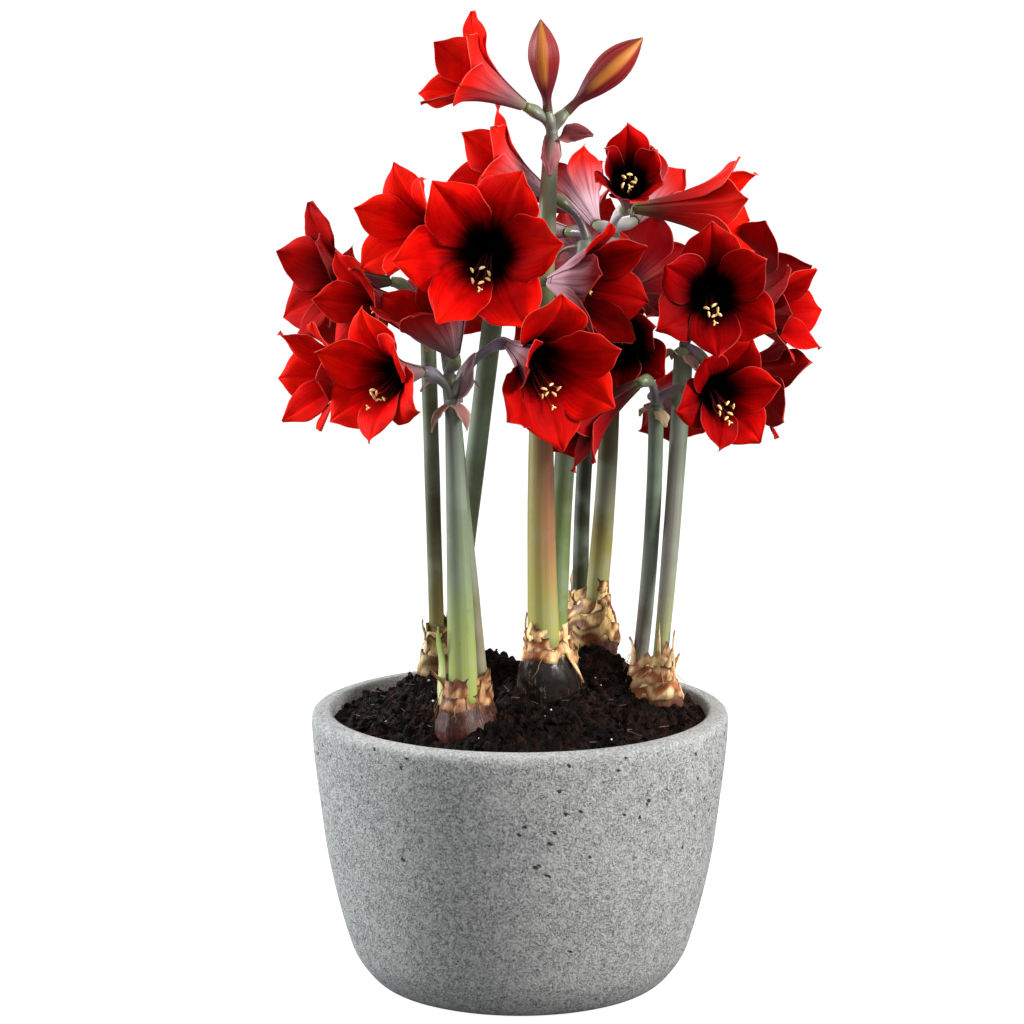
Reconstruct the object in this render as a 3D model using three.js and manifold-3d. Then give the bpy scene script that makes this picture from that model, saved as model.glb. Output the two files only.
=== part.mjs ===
// Amaryllis in a pot. Millimetres, +Z up, the pot stands on z = 0 and the viewer stands on the -Y side.
// Five bulbs carry two flower stalks (scapes) each, and each scape carries an umbel of three or four blooms.
import * as THREE from 'three';
import Module from 'manifold-3d';
import { mergeVertices } from 'three/addons/utils/BufferGeometryUtils.js';

const wasm = await Module();
wasm.setup();

// ---------- driving dimensions ----------
const POT_SIDES = 40;
const POT_HEIGHT = 241;
const POT_RIM_INNER = 162;
const POT_FLOOR = 20;
const GAP = 0.4;               // clearance between pieces that touch
const SOIL_EDGE = 230;         // soil height at the wall of the pot
const SOIL_CROWN = 24.3;       // how much higher the soil is in the middle
const SCAPE_DEPTH = 28;        // how far a scape reaches down into its bulb
const PEDICEL = 3.6;           // radius of a flower stalk
const OVARY = 5.2;             // radius of the ovary behind a bloom
const TUBE = 4.2;              // radius where a bloom leaves its ovary
const SEPAL_WIDTH = 0.3;       // half width of an outer petal as a share of its length
const PETAL_WIDTH = 0.265;     // the same for an inner petal
const MIDRIB = 1.0;            // half thickness of a petal along its midrib
const MOST_TURN = 0.7;         // a petal reaches no further than this round its axis, in radians
const SPLIT = 0.38;            // share of its length where the petals part from each other
const FILAMENT = 1.1;          // radius of a stamen's filament
const ANTHER = [3, 1.6];       // half of an anther's length and of its width
const ANTHER_SPREAD = [8.5, 7.5]; // how far the anthers part sideways, and up and down

// Lean of a petal from the axis of its bloom, in degrees, at 0, 1/4, 1/2, 3/4 and all of its length.
const FORMS = {
  wide: [12, 22, 42, 62, 82],
  open: [12, 18, 32, 50, 66],
  cup: [12, 18, 26, 32, 40],
  half: [10, 14, 19, 28, 44],
  flare: [12, 16, 24, 36, 52],
  bell: [34, 36, 28, 30, 48],
};

// Scapes: bulb, foot (where it leaves the neck), umbel, radius at either end, how far its middle bows to the right, and which
// way its two bracts point, in degrees.
const SCAPES = {
  C: { bulb: 1, foot: [-48, -93, 290], top: [-56, -95, 527], radii: [13.2, 6.8], bow: 0, bracts: 0 },
  X: { bulb: 1, foot: [-36, -61, 286], top: [-60, -52, 542], radii: [8.5, 7], bow: 0, bracts: 5 },
  D: { bulb: 2, foot: [-73, 47, 305], top: [-80, 60, 566], radii: [7, 7.4], bow: 0, bracts: 90 },
  B: { bulb: 2, foot: [-57, 67, 300], top: [-18, 2, 622], radii: [9.5, 9.4], bow: 0, bracts: 0 },
  A: { bulb: 3, foot: [20, -27, 320], top: [27, -5, 741], radii: [14.4, 6.8], bow: -5, bracts: -8 },
  F: { bulb: 3, foot: [31, 5, 312], top: [57, 25, 647], radii: [10.5, 8], bow: -3.8, bracts: -20 },
  G: { bulb: 4, foot: [54, 97, 335], top: [70, 95, 584], radii: [7.6, 7], bow: -3.5, bracts: 15 },
  H: { bulb: 4, foot: [69, 70, 341], top: [79, 60, 650], radii: [10.4, 7.5], bow: 4.5, bracts: 90 },
  I: { bulb: 5, foot: [106, 33, 286], top: [116, -3, 508], radii: [7.2, 7], bow: 3, bracts: 127 },
  J: { bulb: 5, foot: [122, 3, 292], top: [140, 15, 555], radii: [7.2, 8.8], bow: 1.5, bracts: 127 },
};

// Bulbs: height of the top of the neck, radius of neck and shoulder across the line of the scapes.
const BULBS = [
  { top: 288, neck: 17.5, shoulder: 29 },
  { top: 305, neck: 13, shoulder: 25 },
  { top: 319, neck: 18, shoulder: 30 },
  { top: 341, neck: 14, shoulder: 26 },
  { top: 292, neck: 12.5, shoulder: 25 },
];

// Blooms: scape, form, petal length, roll, where the tube starts, the way the bloom looks, and how much less its petals lean to
// the left and the right than up and down.
const BLOOMS = {
  A1: ['A', 'flare', 90, 10, [3, -15, 760], [-0.8, -0.3, 0.46], 0],
  B1: ['B', 'wide', 104, -25, [-21, -62, 638], [-0.17, -0.96, 0.17], 0],
  B2: ['B', 'open', 86, 20, [-58, -20, 651], [-0.68, -0.64, 0.24], 0],
  B3: ['B', 'half', 84, 0, [-24, 40, 612], [-0.6, 0.62, 0.42], 0],
  B4: ['B', 'bell', 86, 12, [24, -48, 616], [0.86, -0.5, -0.02], 0],
  C1: ['C', 'open', 92, 10, [-82, -100, 547], [-0.62, -0.78, 0.02], 0],
  C2: ['C', 'open', 112, 4, [-9, -106, 570], [0.47, -0.85, -0.2], 0.42],
  C3: ['C', 'flare', 97, -24, [-109, -53, 543], [-0.88, -0.48, -0.01], 0],
  X1: ['X', 'bell', 80, -8, [-54.5, -67, 556], [-0.42, -0.18, 0.88], 0],
  X2: ['X', 'open', 80, 25, [-94, -4, 593], [-0.82, -0.52, 0], 0],
  D1: ['D', 'open', 103, 10, [-114, 79, 602], [-0.85, -0.38, 0.08], 0],
  D2: ['D', 'open', 86, 10, [-110, 106, 580], [-0.68, 0.72, -0.14], 0],
  D3: ['D', 'open', 78, 10, [-70, 108, 588], [0.06, 0.97, -0.1], 0],
  F1: ['F', 'flare', 90, 10, [25, 20, 682], [-0.8, -0.25, 0.46], 0],
  F2: ['F', 'half', 88, 30, [40, 54, 648], [-0.7, 0.7, 0.02], 0],
  F3: ['F', 'open', 76, 30, [54, 84, 626], [0.08, 0.98, 0], 0],
  G1: ['G', 'half', 100, 0, [96, 68, 566], [-0.15, -0.95, -0.1], 0],
  G2: ['G', 'open', 93, 12, [86, 121, 584], [0.42, 0.85, 0.28], 0],
  G3: ['G', 'open', 84, 0, [60, 130, 570], [-0.35, 0.9, -0.15], 0],
  H1: ['H', 'cup', 78, 0, [91, 12, 675], [0, -0.8, 0.5], 0.62],
  H2: ['H', 'half', 106, 15, [98, 32, 670], [0.95, -0.15, 0.01], 0],
  H3: ['H', 'cup', 70, 0, [99, 72, 656], [0.36, 0.8, 0.44], 0],
  H4: ['H', 'cup', 74, 0, [66, 62, 654], [-0.3, 0.75, 0.5], 0],
  I1: ['I', 'half', 90, 0, [98, -40, 528], [-0.75, -0.35, -0.45], 0],
  I2: ['I', 'half', 72, 0, [116, 26, 508], [0.3, 0.88, -0.3], 0],
  I3: ['I', 'open', 81, -22, [150, -25, 523], [0.4, -0.9, 0.02], 0.05],
  J1: ['J', 'open', 96, 0, [156, -32, 602], [0.05, -0.97, 0.14], 0.15],
  J2: ['J', 'open', 96, 30, [160, 32, 583], [0.6, 0.42, 0.35], 0],
  J3: ['J', 'flare', 86, 30, [172, 6, 583], [0.88, -0.42, 0.06], 0],
  J4: ['J', 'open', 84, 0, [164, 8, 538], [0.82, 0.14, -0.22], 0],
};
const BUDS = {
  A2: ['A', 78, 13, [23, -8, 756], [-0.08, -0.02, 1]],
  A3: ['A', 90, 14, [40, 0, 755], [0.72, 0.1, 0.69]],
};
// the blooms that face the viewer, whose petals have more columns
const FINE = ['B1', 'C1', 'C2', 'J1', 'I3'];
// the blooms whose anthers show, and how far under the middle of the throat they hang
const WITH_STAMENS = { B1: 19.5, C1: 18, C2: 18, H1: 9, J1: 19, I3: 17 };

// ---------- colours ----------
const COLOURS = {
  pot: [0.52, 0.52, 0.51, 0.9],
  soil: [0.035, 0.022, 0.017, 1],
  bulb: [0.42, 0.27, 0.15, 0.8],
  scape: [0.36, 0.45, 0.28, 0.6],
  bloom: [0.66, 0.015, 0.012, 0.55],
  bud: [0.6, 0.09, 0.04, 0.55],
  stamen: [0.85, 0.68, 0.25, 0.6],
  leaf: [0.5, 0.62, 0.28, 0.6],
};

// ---------- helpers ----------
const V = (x, y, z) => new THREE.Vector3(x, y, z);
const rad = THREE.MathUtils.degToRad;
const mix = THREE.MathUtils.lerp;
const smooth = THREE.MathUtils.smoothstep;
const hash = (n) => {
  const v = Math.sin(n * 12.9898) * 43758.5453;
  return v - Math.floor(v);
};

function solid(points, faces) {
  const verts = new Float32Array(points.flatMap((p) => [p.x, p.y, p.z]));
  let volume = 0;
  for (const [a, b, c] of faces) volume += points[a].dot(V(0, 0, 0).crossVectors(points[b], points[c]));
  const tris = new Uint32Array(faces.flatMap(([a, b, c]) => (volume > 0 ? [a, b, c] : [a, c, b])));
  return new wasm.Manifold(new wasm.Mesh({ numProp: 3, vertProperties: verts, triVerts: tris }));
}

function solidOf(geometry) {
  geometry.deleteAttribute('normal');
  geometry.deleteAttribute('uv');
  const g = mergeVertices(geometry, 1e-4);
  return new wasm.Manifold(new wasm.Mesh({
    numProp: 3, vertProperties: new Float32Array(g.attributes.position.array), triVerts: new Uint32Array(g.index.array),
  }));
}

function joined(solids) {
  let all = solids[0];
  for (const s of solids.slice(1)) all = all.add(s);
  return all;
}

const group = new THREE.Group();
const counts = {};
function put(name, body, colour) {
  const biggest = body.decompose().sort((a, b) => b.volume() - a.volume())[0];
  const m = biggest.getMesh();
  const geometry = new THREE.BufferGeometry();
  const flat = new Float32Array(m.triVerts.length * 3);
  m.triVerts.forEach((v, i) => { for (let k = 0; k < 3; k++) flat[3 * i + k] = m.vertProperties[v * m.numProp + k]; });
  geometry.setAttribute('position', new THREE.BufferAttribute(flat, 3));
  geometry.computeVertexNormals();
  const [r, g, b, rough] = COLOURS[colour];
  const mesh = new THREE.Mesh(geometry, new THREE.MeshStandardMaterial({ color: new THREE.Color(r, g, b), roughness: rough, metalness: 0 }));
  mesh.name = name;
  group.add(mesh);
  counts[name] = m.triVerts.length / 3;
}

// A thin blade: mid(s, u) gives point and normal, u runs from -1 to 1 across, half gives the half thickness inside the edges.
function blade(rows, cols, half, mid) {
  const points = [], top = [], bottom = [];
  const last = rows.length - 1;
  rows.forEach((s, i) => {
    top.push([]); bottom.push([]);
    cols.forEach((u, j) => {
      if (i === last && j > 0) { top[i].push(top[i][0]); bottom[i].push(top[i][0]); return; }
      const { p, n } = mid(s, i === last ? 0 : u);
      const inside = i > 0 && i < last && j > 0 && j < cols.length - 1;
      if (!inside) { points.push(p); top[i].push(points.length - 1); bottom[i].push(points.length - 1); return; }
      points.push(p.clone().addScaledVector(n, half)); top[i].push(points.length - 1);
      points.push(p.clone().addScaledVector(n, -half)); bottom[i].push(points.length - 1);
    });
  });
  const faces = [];
  const middle = (cols.length - 1) / 2;
  for (let i = 0; i < last; i++) {
    for (let j = 0; j < cols.length - 1; j++) {
      const quad = (g) => [g[i][j], g[i][j + 1], g[i + 1][j + 1], g[i + 1][j]];
      for (const [g, flip] of [[top, false], [bottom, true]]) {
        const [a, b, c, d] = quad(g);
        const two = i === last - 1 ? [[a, b, c]] : j < middle ? [[a, b, c], [a, c, d]] : [[a, b, d], [b, c, d]];
        for (const t of two) faces.push(flip ? [t[0], t[2], t[1]] : t);
      }
    }
  }
  return solid(points, faces);
}

// A bent round bar through the points of a curve at the given stations; size(t) gives its radii across, and it ends in flat faces.
const even = (n) => Array.from({ length: n + 1 }, (_, i) => i / n);
function bar(curve, size, stations, sides, flatTo = null) {
  const segments = stations.length - 1;
  const points = [], faces = [];
  let side = null;
  for (let i = 0; i <= segments; i++) {
    const t = stations[i];
    const p = curve.getPoint(t), d = curve.getTangent(t);
    const ref = flatTo ?? side ?? (Math.abs(d.z) < 0.9 ? V(0, 0, 1) : V(1, 0, 0));
    const a = ref.clone().addScaledVector(d, -ref.dot(d)).normalize();
    const b = V(0, 0, 0).crossVectors(d, a);
    side = a;
    const [ra, rb] = size(t);
    for (let k = 0; k < sides; k++) {
      const w = (2 * Math.PI * k) / sides;
      points.push(p.clone().addScaledVector(a, ra * Math.cos(w)).addScaledVector(b, rb * Math.sin(w)));
    }
  }
  for (let i = 0; i < segments; i++) for (let k = 0; k < sides; k++) {
    const a = i * sides + k, b = i * sides + (k + 1) % sides, c = b + sides, d = a + sides;
    faces.push([a, b, c], [a, c, d]);
  }
  for (let k = 1; k < sides - 1; k++) {
    faces.push([0, k + 1, k]);
    const e = segments * sides;
    faces.push([e, e + k, e + k + 1]);
  }
  return solid(points, faces);
}

// Right and up of a bloom as seen by someone who looks into it.
function frameOf(dir) {
  const d = V(...dir).normalize();
  const up = Math.abs(d.z) > 0.97 ? V(0, 1, 0) : V(0, 0, 1);
  const right = V(0, 0, 0).crossVectors(up, d).normalize();
  const top = V(0, 0, 0).crossVectors(d, right);
  return { d, right, top };
}

// ---------- pot ----------
const POT_OUTER = [[112, 0], [133, 11], [144, 27], [150.5, 45], [158, 72], [167, 114], [173, 158], [178, 200], [180, 228],
  [179.2, 237.5], [175, POT_HEIGHT - 1]];
const POT_INNER = [[164.5, POT_HEIGHT], [POT_RIM_INNER, POT_HEIGHT - 3.5], [160, 200], [151, 110], [140, 45], [126, POT_FLOOR]];
const profile = [[0, 0], ...POT_OUTER, ...POT_INNER, [0, POT_FLOOR]].map(([r, z]) => new THREE.Vector2(r, z));
const potGeometry = new THREE.LatheGeometry(profile, POT_SIDES).rotateX(Math.PI / 2);
put('pot', solidOf(potGeometry), 'pot');

// ---------- bulbs ----------
// Each neck is an oval round its two scapes: the radius is the one across plus a part of the half distance between them.
const bulbShape = BULBS.map((b, i) => {
  const feet = Object.values(SCAPES).filter((s) => s.bulb === i + 1).map((s) => V(...s.foot));
  const along = V(feet[1].x - feet[0].x, feet[1].y - feet[0].y, 0);
  const spread = along.length() / 2;
  along.normalize();
  const across = V(-along.y, along.x, 0);
  const centre = V((feet[0].x + feet[1].x) / 2, (feet[0].y + feet[1].y) / 2, 0);
  return { ...b, along, across, spread, centre };
});
// Radius across at a depth below the top of the neck.
function bulbRadius(b, depth) {
  const stations = [[0, b.neck - 1.2], [7, b.neck - 0.5], [17, b.neck], [30, mix(b.neck, b.shoulder, 0.35)], [46, mix(b.neck, b.shoulder, 0.88)],
    [64, b.shoulder + 1], [84, b.shoulder - 3], [100, b.shoulder - 14]];
  for (let k = 0; k < stations.length - 1; k++)
    if (depth <= stations[k + 1][0]) return mix(stations[k][1], stations[k + 1][1], (depth - stations[k][0]) / (stations[k + 1][0] - stations[k][0]));
  return stations.at(-1)[1];
}
// Dry scales wrap the neck: their ragged ends stand off it at uneven heights.
function bulbBody(b, index, grow) {
  const depths = [100, 84, 64, 46, 30, 17, 7, 0];
  const sides = 14;
  const points = [], faces = [];
  depths.forEach((depth, i) => {
    for (let k = 0; k < sides; k++) {
      const h = (j) => hash(index * 57.3 + k * 7.7 + j * 3.1);
      const w = (2 * Math.PI * (k + 0.5)) / sides;
      const flare = [0, 0, 0, 0, 1.2 * h(1), h(2) > 0.45 ? 2.6 * h(3) : -0.2, 0.8 + 2.4 * h(4), h(5) > 0.6 ? 2.6 : 0.4][i];
      const drop = [0, 0, 0, 0, 4 * h(6) - 2, 5 * h(7) - 2.5, 3 * h(8) - 1.5, 7 * h(9) - 6][i];
      const r = bulbRadius(b, depth) + flare + grow;
      const stretch = r + b.spread * mix(1.06, 0.45, smooth(depth, 20, 64));
      const z = b.top - depth + drop + (i === 0 ? -grow : i === depths.length - 1 ? grow : 0);
      points.push(b.centre.clone().addScaledVector(b.along, stretch * Math.cos(w)).addScaledVector(b.across, r * Math.sin(w)).setZ(z));
    }
  });
  const low = points.push(b.centre.clone().setZ(b.top - 100 - grow)) - 1, high = points.push(b.centre.clone().setZ(b.top - 5 + grow)) - 1;
  for (let k = 0; k < sides; k++) {
    const n = (k + 1) % sides;
    for (let i = 0; i < depths.length - 1; i++) {
      const a = i * sides + k, c = i * sides + n;
      faces.push([a, c, c + sides], [a, c + sides, a + sides]);
    }
    const e = (depths.length - 1) * sides;
    faces.push([low, n, k], [high, e + k, e + n]);
  }
  return solid(points, faces);
}

// ---------- scapes ----------
function scapePath(s) {
  const foot = V(...s.foot), top = V(...s.top);
  const dir = top.clone().sub(foot).normalize();
  const down = foot.clone().addScaledVector(dir, -SCAPE_DEPTH);
  const middle = foot.clone().lerp(top, 0.5).add(V(s.bow, 0, 0));
  return new THREE.CatmullRomCurve3([down, foot, middle, top]);
}
const SCAPE_STATIONS = [0, 1 / 3, 0.5, 2 / 3, 5 / 6, 1];   // the second is the foot
const scapeSize = (s, t, grow = 0) => {
  const r = mix(...s.radii, Math.max(0, (t - 1 / 3) * 1.5)) + grow;
  return [r, r * 0.94 + grow * 0.06];
};

function pedicel(scape, base, dir) {
  const s = SCAPES[scape];
  const path = scapePath(s);
  const umbel = path.getPoint(0.985), up = path.getTangent(1);
  const d = V(...dir).normalize();
  const end = V(...base).addScaledVector(d, -GAP);
  const length = end.distanceTo(umbel);
  const a = umbel.clone().add(up.clone().multiplyScalar(length * 0.33)).add(end.clone().sub(umbel).multiplyScalar(0.12));
  const b = end.clone().addScaledVector(d, -length * 0.34);
  return new THREE.CubicBezierCurve3(umbel, a, b, end);
}
const pedicelSize = (t) => {
  const r = PEDICEL + (OVARY - PEDICEL) * Math.max(0, 1 - Math.abs(t - 0.86) / 0.16) + 0.8 * Math.max(0, 1 - t / 0.2) + (t > 0.99 ? TUBE - PEDICEL : 0);
  return [r, r];
};

// ---------- blooms ----------
// The midrib in the plane of axis and radius, for a form, a length and a lean.
function rib(form, length, lean) {
  const angles = FORMS[form];
  const steps = 40;
  const at = [{ r: TUBE, z: 0, a: rad(angles[0]) }];
  for (let i = 1; i <= steps; i++) {
    const s = (i - 0.5) / steps, q = s * 4, k = Math.min(3, Math.floor(q));
    const a = rad(mix(angles[k], angles[k + 1], q - k) * (1 + (lean - 1) * smooth(s, 0.15, 0.6)));
    const before = at.at(-1);
    at.push({ r: before.r + (length / steps) * Math.sin(a), z: before.z + (length / steps) * Math.cos(a), a });
  }
  return (s) => {
    const q = Math.min(Math.max(s, 0), 1) * steps, k = Math.min(steps - 1, Math.floor(q)), f = q - k;
    return { r: mix(at[k].r, at[k + 1].r, f), z: mix(at[k].z, at[k + 1].z, f), a: mix(at[k].a, at[k + 1].a, f) };
  };
}
const outline = (s) => {
  const rise = 0.18 + 0.82 * Math.pow(smooth(s, 0.02, 0.62), 0.8);
  return s < 0.62 ? rise : 1 - Math.pow((s - 0.62) / 0.38, 2.1);
};

// A bloom is one closed shell: a tube that widens to a throat, and six lobes in two layers that part from each other at SPLIT.
function bloom(name, index) {
  const [, form, length, roll, base, dir, squeeze] = BLOOMS[name];
  const { d, right, top } = frameOf(dir);
  const origin = V(...base);
  const place = (x, y, z) => origin.clone().addScaledVector(right, x).addScaledVector(top, y).addScaledVector(d, z);
  const turn = (x, y, z) => V(0, 0, 0).addScaledVector(right, x).addScaledVector(top, y).addScaledVector(d, z);
  const mean = rib(form, length, 1);
  const points = [], faces = [];
  const add = (p) => points.push(p) - 1;
  const both = (w, s, half) => {
    const { r, z, a } = mean(s);
    return [1, -1].map((sign) => {
      const q = r - sign * half * Math.cos(a);
      return add(place(q * Math.cos(w), q * Math.sin(w), z + sign * half * Math.sin(a)));
    });
  };
  const centre = [0, 1, 2, 3, 4, 5].map((k) => rad(90 + 60 * k + roll));
  const notch = centre.map((w) => { const { r, z } = mean(SPLIT); const v = w + Math.PI / 6; return add(place(r * Math.cos(v), r * Math.sin(v), z)); });
  const low = centre.map((w) => both(w, 0.22, MIDRIB));
  const foot = centre.map((w) => add(place(TUBE * Math.cos(w), TUBE * Math.sin(w), 0)));
  const apex = add(place(0, 0, mean(0.13).z));
  const cols = FINE.includes(name) ? [-1, -0.5, 0, 0.5, 1] : [-1, 0, 1];
  const rows = [SPLIT, 0.62, 0.83, 1];
  const last = rows.length - 1, edge = cols.length - 1;
  for (let k = 0; k < 6; k++) {
    const outer = k % 2 === 0;
    const h = (j) => hash(index * 13.7 + k * 5.3 + j * 2.9);
    const w0 = centre[k], aim = (h(1) - 0.5) * 0.12;
    const lean = (outer ? 1.04 : 0.9) + 0.07 * h(3);
    const line = rib(form, length * (0.98 + 0.05 * h(2)), lean * (1 - squeeze * Math.cos(w0 + aim) ** 2));
    const half = length * (outer ? SEPAL_WIDTH : PETAL_WIDTH) * (0.95 + 0.1 * h(4));
    const wave = (h(5) - 0.5) * 7, back = 0.0035 + 0.004 * h(6);
    const inner = [], outside = [];
    rows.forEach((s, i) => {
      inner.push([]); outside.push([]);
      cols.forEach((u, j) => {
        const at = (a, b) => { inner[i].push(a); outside[i].push(b); };
        if (i === 0 && (j === 0 || j === edge)) { const n = notch[j === 0 ? (k + 5) % 6 : k]; at(n, n); return; }
        if (i === 0) { at(...both(w0 + u * Math.PI / 6, SPLIT, MIDRIB)); return; }
        if (i === last && j > 0) { at(inner[i][0], inner[i][0]); return; }
        const v = i === last ? 0 : u;
        const { r, z, a } = line(s);
        const across = v * half * outline(s);
        const rho = r / Math.max(Math.cos(a), 0.2);
        const turnBy = Math.max(-MOST_TURN, Math.min(MOST_TURN, across / rho));
        const late = smooth(s, 0.5, 0.9);
        const shift = (outer ? -1.5 : 1.7) * smooth(s, SPLIT, 0.6);
        const lift = rho * (1 - Math.cos(turnBy)) * mix(1, 0.45, late) + shift + late * (wave * v * Math.abs(v) - back * across * across);
        const side = rho * Math.sin(turnBy), w = w0 + aim;
        const nx = -Math.cos(a), nz = Math.sin(a), radial = r + lift * nx;
        const p = place(radial * Math.cos(w) - side * Math.sin(w), radial * Math.sin(w) + side * Math.cos(w), z + lift * nz);
        if (i === last || j === 0 || j === edge) { const n = add(p); at(n, n); return; }
        const n = turn(nx * Math.cos(w), nx * Math.sin(w), nz).multiplyScalar(MIDRIB * (u === 0 ? 1 : 0.8));
        at(add(p.clone().add(n)), add(p.clone().sub(n)));
      });
    });
    const middle = edge / 2;
    for (let i = 0; i < last; i++) for (let j = 0; j < edge; j++) for (const [g, flip] of [[outside, false], [inner, true]]) {
      const a = g[i][j], b = g[i][j + 1], c = g[i + 1][j + 1], e = g[i + 1][j];
      const two = i === last - 1 ? [[a, b, c]] : j < middle ? [[a, b, c], [a, c, e]] : [[a, b, e], [b, c, e]];
      for (const t of two) faces.push(flip ? [t[0], t[2], t[1]] : t);
    }
    // from the throat up to the lobe
    const n = (k + 1) % 6;
    for (let j = 0; j < edge; j++) {
      faces.push([low[k][1], outside[0][j + 1], outside[0][j]]);
      faces.push([low[k][0], inner[0][j], inner[0][j + 1]]);
    }
    faces.push([low[k][1], low[n][1], notch[k]], [low[n][0], low[k][0], notch[k]]);
    faces.push([foot[k], foot[n], low[n][1]], [foot[k], low[n][1], low[k][1]], [apex, low[k][0], low[n][0]]);
    if (k > 0 && k < 5) faces.push([foot[0], foot[k + 1], foot[k]]);
  }
  return solid(points, faces);
}

function bud(name) {
  const [, length, radius, base, dir] = BUDS[name];
  const { d, right, top } = frameOf(dir);
  const origin = V(...base);
  const shape = [[0, TUBE], [0.14, TUBE + 0.6], [0.3, 0.6 * radius], [0.46, 0.88 * radius], [0.6, radius], [0.74, 0.88 * radius], [0.87, 0.55 * radius]];
  const sides = 12;
  const points = [origin.clone(), origin.clone().addScaledVector(d, length)], faces = [];
  for (const [t, r] of shape) for (let k = 0; k < sides; k++) {
    const w = (2 * Math.PI * k) / sides, lobe = r * (1 + 0.1 * smooth(t, 0.15, 0.5) * Math.cos(3 * w));
    points.push(origin.clone().addScaledVector(right, lobe * Math.cos(w)).addScaledVector(top, lobe * Math.sin(w)).addScaledVector(d, t * length));
  }
  for (let k = 0; k < sides; k++) {
    const n = (k + 1) % sides;
    faces.push([0, 2 + n, 2 + k]);
    for (let i = 0; i < shape.length - 1; i++) {
      const a = 2 + i * sides + k, b = 2 + i * sides + n;
      faces.push([a, b, b + sides], [a, b + sides, a + sides]);
    }
    const e = 2 + (shape.length - 1) * sides;
    faces.push([e + k, e + n, 1]);
  }
  return solid(points, faces);
}

// Six filaments that droop together to the lower side of the throat, each with an anther on its tip.
function stamens(name, droop, index) {
  const [, form, length, , base, dir] = BLOOMS[name];
  const { d, right, top } = frameOf(dir);
  const origin = V(...base);
  const mean = rib(form, length, 1);
  const place = (x, y, z) => origin.clone().addScaledVector(right, x).addScaledVector(top, y).addScaledVector(d, z);
  const start = mean(0.27).z, reach = mean(1).z * 0.86, room = mean(0.8).r / 50;
  const solids = [];
  const knob = (v) => place(v[0], v[1], start + v[2]);
  solids.push(solid([knob([0, 0, -2]), knob([0, 0, 3]), ...[0, 1, 2, 3, 4, 5].map((k) => knob([4.4 * Math.cos(k * 1.047), 4.4 * Math.sin(k * 1.047), 0]))],
    [0, 1, 2, 3, 4, 5].flatMap((k) => [[0, 2 + (k + 1) % 6, 2 + k], [1, 2 + k, 2 + (k + 1) % 6]])));
  for (let k = 0; k < 6; k++) {
    const h = (j) => hash(index * 31.7 + k * 9.1 + j * 4.3);
    const w = (2 * Math.PI * k) / 6 + 0.5;
    const far = reach - 10 * h(1);
    const apart = 0.45 + 0.7 * h(3);
    const x = apart * ANTHER_SPREAD[0] * Math.cos(w) * room, y = (apart * ANTHER_SPREAD[1] * Math.sin(w) - droop) * room;
    const curve = new THREE.CubicBezierCurve3(place(2.6 * Math.cos(w), 2.6 * Math.sin(w), start), place(3.2 * Math.cos(w), 3.2 * Math.sin(w), start + 12), place(x, y - 2, far - 14), place(x, y, far));
    solids.push(bar(curve, () => [FILAMENT, FILAMENT], even(2), 3));
    const c = place(x, y + 0.5, far + 0.5), t = w * 2 + h(2);
    const l = V(0, 0, 0).addScaledVector(right, Math.cos(t)).addScaledVector(top, Math.sin(t)).addScaledVector(d, 0.4).normalize();
    const m = V(0, 0, 0).crossVectors(l, d).normalize(), q = V(0, 0, 0).crossVectors(l, m);
    const at = (v, len) => c.clone().addScaledVector(v, len);
    solids.push(solid([at(l, ANTHER[0]), at(l, -ANTHER[0]), at(m, ANTHER[1]), at(m, -ANTHER[1]), at(q, ANTHER[1]), at(q, -ANTHER[1])],
      [[0, 2, 4], [0, 4, 3], [0, 3, 5], [0, 5, 2], [1, 4, 2], [1, 3, 4], [1, 5, 3], [1, 2, 5]]));
  }
  return joined(solids);
}

// ---------- assembly ----------
const names = [...Object.keys(BLOOMS), ...Object.keys(BUDS)];
for (const key of Object.keys(SCAPES)) {
  const s = SCAPES[key];
  const path = scapePath(s);
  const solids = [bar(path, (t) => scapeSize(s, t), SCAPE_STATIONS, 8, V(0, 1, 0))];
  for (const name of names) {
    const row = BLOOMS[name] ?? BUDS[name];
    if (row[0] !== key) continue;
    const [base, dir] = BLOOMS[name] ? row.slice(4, 6) : row.slice(3);
    solids.push(bar(pedicel(key, base, dir), pedicelSize, even(5), 5));
  }
  // two papery bracts under the umbel
  const umbel = path.getPoint(0.985);
  const turnBy = rad(s.bracts);
  for (let k = 0; k < 2; k++) {
    const w = turnBy + Math.PI * k, out = V(Math.cos(w), Math.sin(w), 0), side = V(-Math.sin(w), Math.cos(w), 0);
    solids.push(blade([0, 0.3, 0.65, 1], [-1, 0, 1], 0.9, (t, u) => {
      const across = u * 9.5 * (t < 0.5 ? 0.8 + 0.4 * t : 1 - 1.6 * (t - 0.5) * (t - 0.5) * 2.2);
      const far = s.radii[1] - 2.6 + 19 * Math.sin(Math.min(1, t * 1.15) * 1.35);
      const p = umbel.clone().addScaledVector(out, far - 0.03 * across * across).addScaledVector(side, across).add(V(0, 0, -6 + 15 * t - 30 * t * t));
      return { p, n: out.clone().multiplyScalar(0.6).add(V(0, 0, 0.8)).normalize() };
    }));
  }
  put('scape_' + key, joined(solids), 'scape');
}

Object.keys(BLOOMS).forEach((name, i) => put('bloom_' + name, bloom(name, i + 1), 'bloom'));
Object.keys(BUDS).forEach((name) => put('bloom_' + name, bud(name), 'bud'));
Object.entries(WITH_STAMENS).forEach(([name, droop], i) => put('stamens_' + name, stamens(name, droop, i + 1), 'stamen'));

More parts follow.
